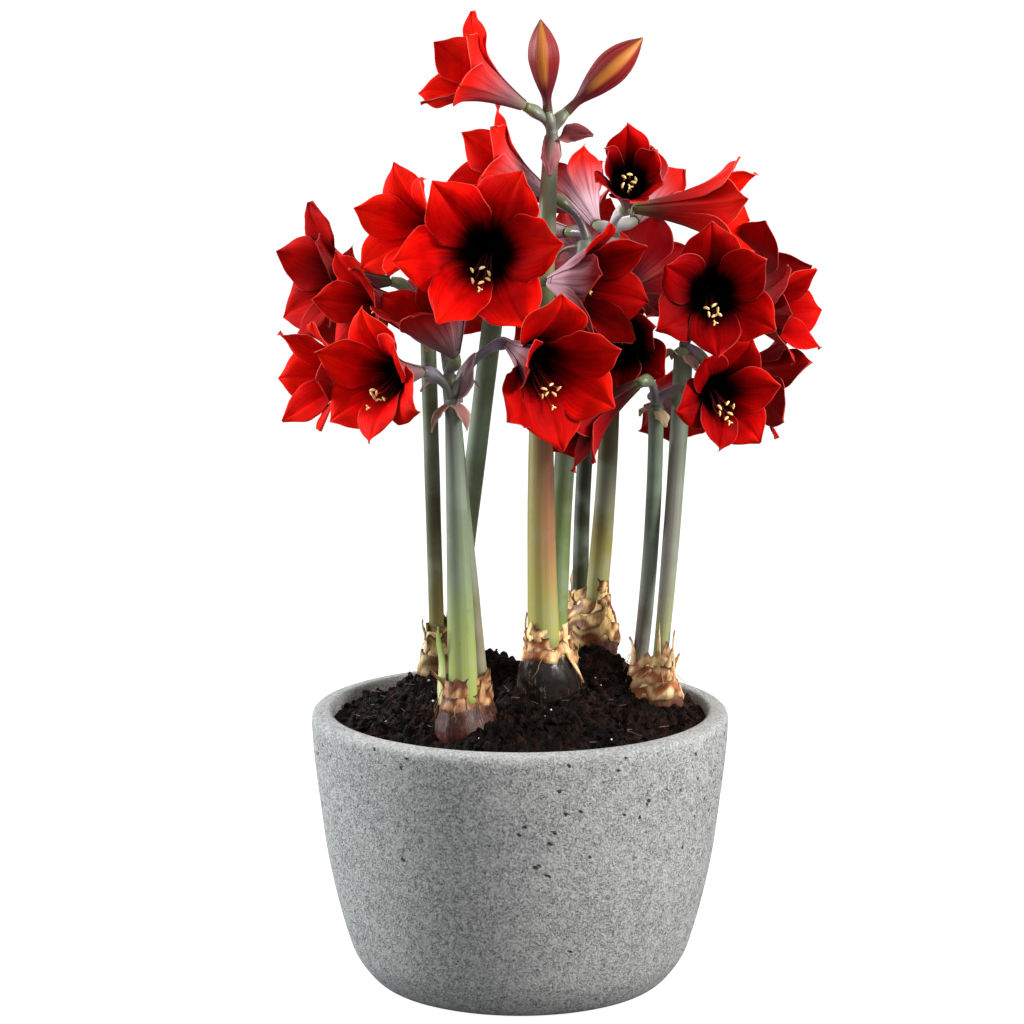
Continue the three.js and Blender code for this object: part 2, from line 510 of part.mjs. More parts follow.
// bulbs, with a hole for each scape
function hole(s) {
  const path = scapePath(s);
  const deeper = { getPoint: (t) => path.getPoint(t).addScaledVector(path.getTangent(0), t === 0 ? -GAP : 0), getTangent: (t) => path.getTangent(t) };
  return bar(deeper, (t) => scapeSize(s, t, GAP), SCAPE_STATIONS.slice(0, 3), 8, V(0, 1, 0));
}
// a young leaf that comes out of the first bulb beside its front scape
function youngLeaf(grow) {
  const foot = V(-65.3, -90.2, 263 - 3 * grow), tip = V(-66, -95, 332);
  const n = V(-0.75, -0.65, 0.1).normalize(), side = V(0.65, -0.75, 0);
  return blade([0, 0.3, 0.65, 1], [-1, 0, 1], 1.2 + 1.5 * grow, (t, u) => {
    const across = u * (t < 0.4 ? 5.2 : 5.2 - 4 * (t - 0.4)) + u * grow * 1.5;
    return { p: foot.clone().lerp(tip, t).addScaledVector(side, across).addScaledVector(n, 3 * t * t - 0.15 * Math.abs(across)), n };
  });
}
put('young_leaf', youngLeaf(0), 'leaf');
bulbShape.forEach((b, i) => {
  let body = bulbBody(b, i + 1, 0);
  if (i === 0) body = body.subtract(youngLeaf(GAP));
  for (const s of Object.values(SCAPES)) if (s.bulb === i + 1) body = body.subtract(hole(s));
  put('bulb_' + (i + 1), body, 'bulb');
});

// soil: a crumbly dome with heaps, and a pocket for each bulb
const inner = (z) => {
  const rows = [[POT_FLOOR, 126], [45, 140], [110, 151], [200, 160], [POT_HEIGHT - 3.5, 162]];
  for (let k = 0; k < rows.length - 1; k++) if (z <= rows[k + 1][0]) return mix(rows[k][1], rows[k + 1][1], (z - rows[k][0]) / (rows[k + 1][0] - rows[k][0]));
  return POT_RIM_INNER;
};
const HEAPS = [[-18, 50, 25, 24], [66, 60, 40, 38], [-76, 30, 28, 16], [140, 30, 14, 12], [30, -10, 52, 8], [-38, -78, 40, 3],
  [128, -20, 34, 6], [-60, 60, 40, 8]];
function soilHeight(x, y) {
  const r = Math.hypot(x, y) / POT_RIM_INNER;
  let z = SOIL_EDGE + SOIL_CROWN * (1 - r * r);
  for (const [hx, hy, wide, high] of HEAPS) z += high * Math.exp(-((x - hx) ** 2 + (y - hy) ** 2) / (wide * wide));
  const crumb = Math.sin(x * 0.13 + 1.3) * Math.cos(y * 0.17) + Math.sin(x * 0.31 + y * 0.23) * 0.6 + Math.sin(y * 0.37 - x * 0.19 + 2) * 0.5;
  return z + crumb * 2.2 * (r < 0.97 ? 1 : 0.2);
}
{
  const points = [V(0, 0, POT_FLOOR + GAP), V(0, 0, soilHeight(0, 0))], faces = [];
  const edge = SOIL_EDGE - 3;
  const rings = [];
  const ring = (r, height) => {
    const row = [];
    for (let k = 0; k < POT_SIDES; k++) {
      const w = (2 * Math.PI * k) / POT_SIDES, x = r * Math.sin(w), y = -r * Math.cos(w);
      points.push(V(x, y, typeof height === 'function' ? height(x, y) : height));
      row.push(points.length - 1);
    }
    rings.push(row);
  };
  for (const z of [POT_FLOOR + GAP, 45, 110, 200, edge]) ring(inner(z) - GAP * 1.2, z);
  for (const r of [146, 126, 104, 80, 54, 26]) ring(r, soilHeight);
  for (let k = 0; k < POT_SIDES; k++) {
    const n = (k + 1) % POT_SIDES;
    faces.push([0, rings[0][n], rings[0][k]]);
    for (let i = 0; i < rings.length - 1; i++) faces.push([rings[i][k], rings[i][n], rings[i + 1][n]], [rings[i][k], rings[i + 1][n], rings[i + 1][k]]);
    faces.push([rings.at(-1)[k], rings.at(-1)[n], 1]);
  }
  let soil = solid(points, faces);
  bulbShape.forEach((b, i) => { soil = soil.subtract(bulbBody(b, i + 1, GAP)); });
  put('soil', soil, 'soil');
}

export const triangles = counts;
export default group;
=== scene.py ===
import math
import bpy
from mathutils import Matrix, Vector, noise


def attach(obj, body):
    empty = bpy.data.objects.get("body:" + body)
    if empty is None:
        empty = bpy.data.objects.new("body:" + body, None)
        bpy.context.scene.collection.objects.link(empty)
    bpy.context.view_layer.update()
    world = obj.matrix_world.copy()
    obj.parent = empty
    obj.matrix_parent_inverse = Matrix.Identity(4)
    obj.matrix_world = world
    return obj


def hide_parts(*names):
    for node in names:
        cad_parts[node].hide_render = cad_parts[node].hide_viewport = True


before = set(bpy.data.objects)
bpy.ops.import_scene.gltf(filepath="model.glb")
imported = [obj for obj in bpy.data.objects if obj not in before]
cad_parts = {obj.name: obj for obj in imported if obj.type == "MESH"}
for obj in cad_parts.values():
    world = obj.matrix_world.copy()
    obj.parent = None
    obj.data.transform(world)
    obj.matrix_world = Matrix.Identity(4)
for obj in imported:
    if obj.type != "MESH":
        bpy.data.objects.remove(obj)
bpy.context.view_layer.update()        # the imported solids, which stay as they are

scene = bpy.context.scene


# ---------- the studio ----------
# A pale floor without a seam and two soft windows: one at the right, one at the left and a little behind.
# The camera stands three metres off at the height of the umbels and looks down a little on the pot.
CAMERA_PLACE = (-0.0069, -3.0, 0.9406)
CAMERA_DOWN = math.radians(9.986)
CAMERA_LENS = 124.9
FLOOR_WIDTH = 90.0
LIGHTS = {
    # name: place, point it looks at, width, watts, colour
    "window_right": ((2.1, -0.85, 1.5), (0, 0, 0.45), 1.0, 98, (1.0, 0.98, 0.95)),
    "window_left": ((-2.0, 0.5, 1.1), (0, 0, 0.45), 1.0, 78, (0.96, 0.98, 1.0)),
}
AMBIENT = 0.82               # light of the air on the plant; the camera sees the air as plain white
FLOOR_GLOW = (0.05, 0.97)    # light that the floor gives off towards the plant, and towards the camera
FLOOR_TONE = (0.16, 0.18)


def deselect():
    bpy.ops.object.select_all(action="DESELECT")


scene.view_settings.view_transform = "Standard"
deselect()
bpy.ops.object.camera_add(location=CAMERA_PLACE, rotation=(math.pi / 2 - CAMERA_DOWN, 0, 0))
camera = bpy.context.object
camera.data.lens = CAMERA_LENS
camera.data.sensor_width = 36
camera.data.clip_end = 200
scene.camera = camera

for name, (place, target, width, watts, tint) in LIGHTS.items():
    turn = (Vector(target) - Vector(place)).to_track_quat("-Z", "Y").to_euler()
    bpy.ops.object.light_add(type="AREA", location=place, rotation=turn)
    light = bpy.context.object
    light.name = name
    light.data.shape = "SQUARE"
    light.data.size = width
    light.data.energy = watts
    light.data.color = tint

world = bpy.data.worlds.new("studio_air")
world.use_nodes = True
scene.world = world


def put_node(tree, kind, inputs=None, **settings):
    """A shader node with its settings, and its sockets linked or given a value."""
    node = tree.nodes.new(kind)
    for key, value in settings.items():
        setattr(node, key, value)
    for key, value in (inputs or {}).items():
        if isinstance(value, bpy.types.NodeSocket):
            tree.links.new(value, node.inputs[key])
        else:
            node.inputs[key].default_value = value
    return node


def new_material(name, **sockets):
    """A material with its Principled BSDF, whose uniform values are set on its own sockets."""
    material = bpy.data.materials.new(name)
    material.use_nodes = True
    shader = material.node_tree.nodes["Principled BSDF"]
    for key, value in sockets.items():
        shader.inputs[key.replace("_", " ")].default_value = value
    return material, material.node_tree, shader


air = world.node_tree
straight = put_node(air, "ShaderNodeLightPath").outputs["Is Camera Ray"]
strength = put_node(air, "ShaderNodeMapRange",
                    {"Value": straight, "To Min": AMBIENT, "To Max": 1.0}).outputs["Result"]
air.links.new(strength, air.nodes["Background"].inputs["Strength"])
air.nodes["Background"].inputs["Color"].default_value = (1, 1, 1, 1)

paper, tree, shader = new_material("pale_floor", Roughness=1.0, Specular_IOR_Level=0.0)
straight = put_node(tree, "ShaderNodeLightPath").outputs["Is Camera Ray"]
glow = put_node(tree, "ShaderNodeMapRange",
                {"Value": straight, "To Min": FLOOR_GLOW[0], "To Max": FLOOR_GLOW[1]}).outputs["Result"]
tree.links.new(glow, shader.inputs["Emission Strength"])
shader.inputs["Emission Color"].default_value = (1, 1, 1, 1)
fog = put_node(tree, "ShaderNodeTexNoise", {"Scale": 0.7}).outputs["Fac"]
pale = put_node(tree, "ShaderNodeMapRange",
                {"Value": fog, "To Min": FLOOR_TONE[0], "To Max": FLOOR_TONE[1]}).outputs["Result"]
tree.links.new(pale, shader.inputs["Base Color"])
deselect()
bpy.ops.mesh.primitive_plane_add(size=FLOOR_WIDTH)
floor = bpy.context.object
floor.name = "floor"
floor.data.materials.append(paper)


# ---------- the pot ----------
# A round tapered planter of fibre concrete, cast in one piece: a flat foot, a belly that widens to the
# rim, a rim with soft edges, and air bubbles that left small pits in its skin.
POT_SIDES = 176
# profile of the pot, as radius and height: up the outside, over the rim, and down the inside
POT_OUTER = [(0.112, 0.0), (0.1235, 0.0028), (0.133, 0.011), (0.144, 0.027), (0.1505, 0.045),
             (0.158, 0.072), (0.167, 0.114), (0.173, 0.158), (0.178, 0.2), (0.18, 0.228)]
POT_RIM = [(0.1799, 0.2345), (0.1792, 0.2375), (0.1775, 0.2393), (0.175, 0.24),
           (0.1665, 0.2412), (0.1642, 0.241), (0.1628, 0.2398), (0.162, 0.2375)]
POT_INNER = [(0.16, 0.2), (0.151, 0.11), (0.14, 0.045), (0.126, 0.02)]
# painted shade: the near-black that fills the pits
PAINTED_PIT_SHADE = (0.035, 0.035, 0.034, 1)


def mix(a, b, t):
    return a + (b - a) * t


def smooth(x, low, high):
    """0 below low, 1 above high, and a soft rise between them."""
    t = min(1.0, max(0.0, (x - low) / (high - low)))
    return t * t * (3 - 2 * t)


def through(points, steps):
    """A smooth line through the points, with so many steps between each two."""
    line = []
    ends = [points[0]] + list(points) + [points[-1]]
    for i in range(1, len(ends) - 2):
        a, b, c, d = ends[i - 1:i + 3]
        for k in range(steps):
            t = k / steps
            line.append(tuple(0.5 * (2 * q + (r - p) * t + (2 * p - 5 * q + 4 * r - s) * t * t
                                     + (3 * q - p - 3 * r + s) * t ** 3)
                              for p, q, r, s in zip(a, b, c, d)))
    return line + [tuple(points[-1])]


deselect()
bpy.ops.mesh.primitive_circle_add(vertices=POT_SIDES, radius=POT_OUTER[0][0], fill_type="NGON")
pot = bpy.context.object
pot.name = pot.data.name = "pot_concrete"
bpy.ops.object.mode_set(mode="EDIT")
radius, height = POT_OUTER[0]
for next_radius, next_height in (through(POT_OUTER, 4) + POT_RIM + through(POT_INNER, 3))[1:]:
    bpy.ops.mesh.extrude_region_move(TRANSFORM_OT_translate={"value": (0, 0, next_height - height)})
    bpy.ops.transform.resize(value=(next_radius / radius, next_radius / radius, 1))
    radius, height = next_radius, next_height
bpy.ops.mesh.select_all(action="SELECT")
bpy.ops.mesh.normals_make_consistent(inside=False)
bpy.ops.object.mode_set(mode="OBJECT")
bpy.ops.object.shade_smooth_by_angle(angle=math.radians(50))


def srgb(*steps):
    """A colour given in the 0-255 steps of a colour card, as the shader takes it."""
    card = [step / 255 for step in steps]
    return tuple(c / 12.92 if c <= 0.04045 else ((c + 0.055) / 1.055) ** 2.4 for c in card) + (1,)


def object_place(tree):
    return put_node(tree, "ShaderNodeTexCoord").outputs["Object"]


def noise_at(tree, where, scale, **sockets):
    """Soft noise, about as fine as its scale says per metre."""
    return put_node(tree, "ShaderNodeTexNoise", {"Vector": where, "Scale": scale, **sockets}).outputs["Fac"]


def blend(tree, factor, first, second, kind="MIX"):
    """Two colours mixed by a factor; each may be a socket or a colour."""
    sockets = {0: factor, 6: first, 7: second}
    return put_node(tree, "ShaderNodeMix", sockets, data_type="RGBA", blend_type=kind).outputs[2]


def remap(tree, value, low, high, to_low=0.0, to_high=1.0):
    """A value that runs softly from to_low to to_high while the given one goes from low to high."""
    limits = {"From Min": low, "From Max": high, "To Min": to_low, "To Max": to_high}
    node = put_node(tree, "ShaderNodeMapRange", {"Value": value, **limits}, interpolation_type="SMOOTHSTEP")
    return node.outputs["Result"]


def arithmetic(tree, kind, first, second=0.0):
    return put_node(tree, "ShaderNodeMath", {0: first, 1: second}, operation=kind).outputs[0]


def times(tree, first, second):
    return arithmetic(tree, "MULTIPLY", first, second)


def bump(tree, shader, height, strength, distance):
    node = put_node(tree, "ShaderNodeBump", {"Height": height, "Strength": strength, "Distance": distance})
    tree.links.new(node.outputs["Normal"], shader.inputs["Normal"])


concrete, tree, shader = new_material("cast_concrete", Roughness=0.88, Specular_IOR_Level=0.25)
where = object_place(tree)
part = put_node(tree, "ShaderNodeSeparateXYZ", {"Vector": where})
cloud = noise_at(tree, where, 14, Detail=4)
grain = noise_at(tree, where, 460, Detail=3, Roughness=0.7)
ridges = noise_at(tree, where, 330, Detail=1.0, Distortion=0.9)
breaks = noise_at(tree, where, 150, Detail=2.0)
# thin grooves that break off, painted dark as the shade in them, fainter on the rim
off_line = arithmetic(tree, "ABSOLUTE", arithmetic(tree, "SUBTRACT", ridges, 0.5))
lines = times(tree, remap(tree, off_line, 0.012, 0.045, 1.0, 0.0), remap(tree, breaks, 0.34, 0.56))
lines = times(tree, lines, remap(tree, part.outputs["Z"], 0.229, 0.238, 1.0, 0.55))
# pits in a few of the cells, mostly high up and at the right, flattened and with crooked edges, and
# painted near-black as the shade inside them
squash = put_node(tree, "ShaderNodeMapping",
                  {"Vector": where, "Rotation": (0.0, 0.45, 0.0), "Scale": (1.6, 1.0, 0.9)},
                  vector_type="TEXTURE").outputs["Vector"]
jagged = put_node(tree, "ShaderNodeTexNoise", {"Vector": where, "Scale": 420, "Detail": 2}).outputs["Color"]
crooked = put_node(tree, "ShaderNodeVectorMath", {0: jagged, 1: (0.004, 0.004, 0.004)},
                   operation="MULTIPLY").outputs["Vector"]
crooked = put_node(tree, "ShaderNodeVectorMath", {0: squash, 1: crooked}, operation="ADD").outputs["Vector"]
bubbles = put_node(tree, "ShaderNodeTexVoronoi", {"Vector": crooked, "Scale": 130, "Randomness": 1.0})
lot = put_node(tree, "ShaderNodeSeparateColor", {"Color": bubbles.outputs["Color"]}).outputs["Red"]
crowd = noise_at(tree, where, 11, Detail=2)
high_up = times(tree, remap(tree, part.outputs["Z"], 0.12, 0.19),
                remap(tree, part.outputs["Z"], 0.233, 0.238, 1.0, 0.0))
to_right = remap(tree, part.outputs["X"], -0.06, 0.03, 0.3, 1.0)
likely = times(tree, times(tree, high_up, to_right), remap(tree, crowd, 0.38, 0.62, 0.06, 0.6))
chosen = arithmetic(tree, "LESS_THAN", lot, arithmetic(tree, "ADD", likely, 0.006))
pits = times(tree, chosen, remap(tree, bubbles.outputs["Distance"], 0.16, 0.27, 1.0, 0.0))
base = blend(tree, remap(tree, cloud, 0.35, 0.65), srgb(132, 134, 136), srgb(146, 147, 146))
# the raised grain is lighter: partly the concrete's own speckle, partly painted highlight on the raised bits
base = blend(tree, remap(tree, grain, 0.37, 0.62, 0.0, 0.8), base, srgb(186, 187, 186))
# painted shade along the grooves
base = blend(tree, remap(tree, lines, 0, 1, 0.0, 0.8), base, srgb(74, 74, 76))
# painted shade in the pits
base = blend(tree, pits, base, PAINTED_PIT_SHADE)
tree.links.new(base, shader.inputs["Base Color"])
relief = arithmetic(tree, "SUBTRACT", remap(tree, grain, 0.3, 0.7, 0.0, 0.6),
                    remap(tree, lines, 0, 1, 0.0, 0.6))
bump(tree, shader, arithmetic(tree, "SUBTRACT", relief, pits), 0.9, 0.001)
pot.data.materials.append(concrete)
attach(pot, "root")
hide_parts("pot")


# ---------- the soil ----------
# Moist potting soil of peat and bark, heaped round the bulbs: a closed dome with crumbs, loose clods on
# it, dry fibres, and a few bits of white perlite.
SOIL_EDGE = 0.23
SOIL_CROWN = 0.0243
SOIL_RADIUS = 0.1612
CROWN_RADIUS = 0.162         # where the crown has sunk to the level of the edge
SOIL_CELLS = 190
# heap: how far right and back it is, its width and its height
SOIL_HEAPS = [(-0.018, 0.05, 0.025, 0.024), (0.066, 0.06, 0.04, 0.038), (-0.076, 0.03, 0.028, 0.016),
              (0.14, 0.03, 0.014, 0.012), (0.03, -0.01, 0.052, 0.008), (-0.038, -0.078, 0.04, 0.003),
              (0.128, -0.02, 0.034, 0.006), (-0.06, 0.06, 0.04, 0.008)]
SOIL_SIDE = ((0.022, 0.988), (0.115, 0.93), (0.0715, 0.855))      # how deep each step goes, how it narrows
CALM_EDGE = (0.148, 0.159)   # the crumbs get lower from one radius to the other
SCATTER_REACH = 0.157
CLOD_SEED, FIBRE_SEED, PERLITE_SEED = 11, 900, 500
CLODS = 850
FIBRES = 150
FIBRE_RADIUS = 0.00028
PERLITE = 14


def sheet(name, columns, rows, place):
    """A grid laid out by place(across, along): across runs from -1 to 1 and along from 0 to 1."""
    deselect()
    bpy.ops.mesh.primitive_grid_add(x_subdivisions=columns, y_subdivisions=rows, size=2)
    piece = bpy.context.object
    piece.name = piece.data.name = name
    spots = [c for v in piece.data.vertices for c in place(v.co.x, (v.co.y + 1) / 2)]
    piece.data.vertices.foreach_set("co", spots)
    piece.data.update()
    return piece


def join(pieces, name):
    deselect()
    for piece in pieces:
        piece.select_set(True)
    bpy.context.view_layer.objects.active = pieces[0]
    bpy.ops.object.join()
    whole = bpy.context.object
    whole.name = whole.data.name = name
    return whole


def chance(n):
    """A repeatable number between 0 and 1."""
    value = math.sin(n * 12.9898) * 43758.5453
    return value - math.floor(value)


def soil_height(x, y):
    """The level of the heaped soil, without its clods."""
    share = math.hypot(x, y) / CROWN_RADIUS
    z = SOIL_EDGE + SOIL_CROWN * (1 - share * share)
    for heap_x, heap_y, wide, high in SOIL_HEAPS:
        z += high * math.exp(-((x - heap_x) ** 2 + (y - heap_y) ** 2) / (wide * wide))
    return z


def soil_spot(x, y):
    """The soil's own surface with its clods and crumbs."""
    calm = 1 - 0.75 * smooth(math.hypot(x, y), *CALM_EDGE)
    lumps = noise.noise(Vector((x * 42, y * 42, 1.3))) * 0.008
    clods = noise.fractal(Vector((x * 120, y * 120, 4.1)), 1.0, 2.1, 3) * 0.0036
    cells = noise.voronoi(Vector((x * 95, y * 95, 2.2)))[0]
    crumbs = (cells[1] - cells[0]) * 0.0085 - 0.003
    return soil_height(x, y) + (lumps + clods + crumbs) * calm


def soil_place(across, along):
    y = 2 * along - 1
    round_x = across * math.sqrt(1 - y * y / 2) * SOIL_RADIUS
    round_y = y * math.sqrt(1 - across * across / 2) * SOIL_RADIUS
    return round_x, round_y, soil_spot(round_x, round_y)


dome = sheet("soil_dome", SOIL_CELLS, SOIL_CELLS, soil_place)
bpy.ops.object.mode_set(mode="EDIT")
bpy.ops.mesh.select_all(action="SELECT")
bpy.ops.mesh.region_to_loop()
for depth, share in SOIL_SIDE:
    bpy.ops.mesh.extrude_region_move(TRANSFORM_OT_translate={"value": (0, 0, -depth)})
    bpy.ops.transform.resize(value=(share, share, 1))
bpy.ops.transform.resize(value=(1, 1, 0))
bpy.ops.mesh.edge_face_add()
bpy.ops.mesh.select_all(action="SELECT")
bpy.ops.mesh.normals_make_consistent(inside=False)
bpy.ops.object.mode_set(mode="OBJECT")
for polygon in dome.data.polygons:
    polygon.use_smooth = polygon.normal.z > 0.1


def scatter(count, seed):
    """Places spread over the soil at random, the same in every run."""
    for i in range(count):
        far = SCATTER_REACH * math.sqrt(chance(seed + i * 1.37))
        turn = 2 * math.pi * chance(seed + 50 + i * 2.11)
        yield i, far * math.sin(turn), far * math.cos(turn)


def scattered(name, template, spots):
    """One mesh made of many turned and sized copies of a small template object."""
    points, faces = [], []
    source = [v.co.copy() for v in template.data.vertices]
    sides = [tuple(p.vertices) for p in template.data.polygons]
    for place, turn, size in spots:
        base = len(points)
        points += [place + turn @ Vector((p.x * size[0], p.y * size[1], p.z * size[2])) for p in source]
        faces += [tuple(base + v for v in side) for side in sides]
    mesh = bpy.data.meshes.new(name)
    mesh.from_pydata(points, [], faces)
    piece = bpy.data.objects.new(name, mesh)
    scene.collection.objects.link(piece)
    return piece


def any_turn(seed):
    """A turn to any side, the same for the same seed."""
    axis = Vector((chance(seed) - 0.5, chance(seed + 1) - 0.5, chance(seed + 2) - 0.5 + 1e-3)).normalized()
    return axis.to_track_quat("Z", "Y")


deselect()
bpy.ops.mesh.primitive_ico_sphere_add(subdivisions=1, radius=1)
pebble = bpy.context.object
for v in pebble.data.vertices:
    v.co *= 0.65 + 0.6 * chance(v.index * 3.7)
clod_spots = []
for i, x, y in scatter(CLODS, CLOD_SEED):
    size = 0.001 + 0.0042 * chance(i * 5.3) ** 3
    place = Vector((x, y, soil_spot(x, y) + size * 0.3))
    clod_spots.append((place, any_turn(i * 7.1), (size * 1.2, size, size * 0.8)))
clods = scattered("soil_clods", pebble, clod_spots)
perlite_spots = []
for i, x, y in scatter(PERLITE, PERLITE_SEED):
    size = 0.0006 + 0.0008 * chance(i * 9.7)
    place = Vector((x, y, soil_spot(x, y) + size * 0.7))
    perlite_spots.append((place, any_turn(i * 3.3), (size * 1.3, size, size)))
perlite = scattered("soil_perlite", pebble, perlite_spots)
bpy.data.objects.remove(pebble)

deselect()
bpy.ops.mesh.primitive_cylinder_add(vertices=3, radius=1, depth=1, end_fill_type="TRIFAN")
bpy.ops.object.mode_set(mode="EDIT")
bpy.ops.mesh.select_all(action="SELECT")
bpy.ops.mesh.subdivide(number_cuts=2)
bpy.ops.object.mode_set(mode="OBJECT")
straw = bpy.context.object
for v in straw.data.vertices:
    v.co.x += 2.4 * (0.25 - v.co.z * v.co.z)
fibre_spots = []
for i, x, y in scatter(FIBRES, FIBRE_SEED):
    long = 0.005 + 0.009 * chance(i * 6.1)
    lie = Vector((math.cos(i * 2.4), math.sin(i * 2.4), 0.5 * chance(i * 1.9) - 0.12))
    place = Vector((x, y, soil_spot(x, y) + 0.0012))
    fibre_spots.append((place, lie.to_track_quat("Z", "Y"), (FIBRE_RADIUS, FIBRE_RADIUS, long)))
fibres = scattered("soil_fibres", straw, fibre_spots)
bpy.data.objects.remove(straw)

earth, tree, shader = new_material("moist_soil", Roughness=0.92, Specular_IOR_Level=0.08)
where = object_place(tree)
mottle = noise_at(tree, where, 160, Detail=4, Roughness=0.65)
patches = noise_at(tree, where, 28, Detail=2)
crumb = put_node(tree, "ShaderNodeTexVoronoi", {"Vector": where, "Scale": 520}).outputs["Distance"]
base = blend(tree, remap(tree, mottle, 0.42, 0.7), srgb(9, 5, 4), srgb(50, 28, 20))
base = blend(tree, remap(tree, patches, 0.42, 0.6, 0.0, 0.85), base, srgb(4, 3, 2))
tree.links.new(base, shader.inputs["Base Color"])
tree.links.new(remap(tree, patches, 0.4, 0.6, 0.9, 0.6), shader.inputs["Roughness"])
bump(tree, shader, arithmetic(tree, "ADD", crumb, mottle), 0.9, 0.0018)
dry, tree, shader = new_material("dry_fibre", Roughness=0.8)
tone = noise_at(tree, object_place(tree), 45)
tree.links.new(blend(tree, remap(tree, tone, 0.35, 0.65), srgb(50, 30, 22), srgb(112, 80, 58)),
               shader.inputs["Base Color"])
white, tree, shader = new_material("white_perlite", Roughness=0.7)
tone = noise_at(tree, object_place(tree), 900)
tree.links.new(blend(tree, remap(tree, tone, 0.3, 0.7), srgb(196, 186, 176), srgb(240, 236, 230)),
               shader.inputs["Base Color"])
for piece, material in ((dome, earth), (clods, earth), (fibres, dry), (perlite, white)):
    piece.data.materials.append(material)
soil = join([dome, clods, fibres, perlite], "soil_heap")
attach(soil, "root")
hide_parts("soil")


# ---------- the scapes ----------
# Ten hollow flower stalks, two to a bulb, waxy and a little two-edged. Each grew as one piece with the
# pedicels of its umbel, the ovary behind each bloom, and the two bracts that once wrapped the buds.
SCAPE_DEPTH = 0.028
SCAPE_END = 1.004            # where a scape ends, as a share of the way from its foot to its umbel
UMBEL_AT = 0.985             # where the pedicels and bracts leave it
TWO_EDGED = 0.94             # depth of a scape against its width
BLUSH_WIDTH = 55             # degrees to either side
PEDICEL_RADIUS = 0.0036
OVARY_RADIUS = 0.0056
TUBE_RADIUS = 0.0042
JOINT_GAP = 0.0004
BRACT_THICK = 0.0006
BRACT_STEPS = 16
STEM_GRID, PEDICEL_GRID, BRACT_GRID = (32, 48), (14, 26), (12, 18)

# scape: foot, umbel, radius at either end, and how far its middle bows to the right
SCAPES = {
    "C": ((-0.048, -0.093, 0.29), (-0.056, -0.095, 0.527), 0.0132, 0.0068, 0),
    "X": ((-0.036, -0.061, 0.286), (-0.06, -0.052, 0.542), 0.0085, 0.007, 0),
    "D": ((-0.073, 0.047, 0.305), (-0.08, 0.06, 0.566), 0.007, 0.0074, 0),
    "B": ((-0.057, 0.067, 0.3), (-0.018, 0.002, 0.622), 0.0095, 0.0094, 0),
    "A": ((0.02, -0.027, 0.32), (0.027, -0.005, 0.741), 0.0144, 0.0068, -0.005),
    "F": ((0.031, 0.005, 0.312), (0.057, 0.025, 0.647), 0.0105, 0.008, -0.0038),
    "G": ((0.054, 0.097, 0.335), (0.07, 0.095, 0.584), 0.0076, 0.007, -0.0035),
    "H": ((0.069, 0.07, 0.341), (0.079, 0.06, 0.65), 0.0104, 0.0075, 0.0045),
    "I": ((0.106, 0.033, 0.286), (0.116, -0.003, 0.508), 0.0072, 0.007, 0.003),
    "J": ((0.122, 0.003, 0.292), (0.14, 0.015, 0.555), 0.0072, 0.0088, 0.0015),
}
# bracts of each scape: turn in degrees (0 points right, -90 at the viewer), length, half width, how far they
# rise where they start and where they end in degrees, and how far they turn on their own length
BRACTS = {
    "C": [(-155, 0.03, 0.007, -20, -95, 0), (-50, 0.028, 0.007, -10, -100, 0),
          (-22, 0.046, 0.0095, 82, 56, 75)],
    "X": [(5, 0.024, 0.007, 20, -60, 0), (185, 0.024, 0.007, 10, -70, 0)],
    "D": [(90, 0.026, 0.0075, 15, -70, 0), (270, 0.026, 0.0075, 10, -75, 0)],
    "B": [(10, 0.042, 0.0065, 56, 30, 60), (190, 0.026, 0.007, 10, -70, 0)],
    "A": [(-12, 0.033, 0.0085, 36, -24, 78), (-100, 0.031, 0.0085, -72, -89, 0),
          (80, 0.029, 0.0075, -72, -89, 0)],
    "F": [(-20, 0.026, 0.007, 15, -60, 0), (160, 0.026, 0.007, 10, -70, 0)],
    "G": [(15, 0.026, 0.007, 15, -60, 0), (195, 0.026, 0.007, 10, -70, 0)],
    "H": [(90, 0.03, 0.008, 30, -40, 0), (270, 0.028, 0.008, 20, -60, 0)],
    "I": [(-60, 0.018, 0.007, -20, -85, 0), (127, 0.022, 0.007, 20, -70, 0)],
    "J": [(-165, 0.026, 0.0085, 25, -60, 40), (-60, 0.02, 0.008, -10, -80, 0),
          (110, 0.024, 0.008, 20, -70, 0)],
}
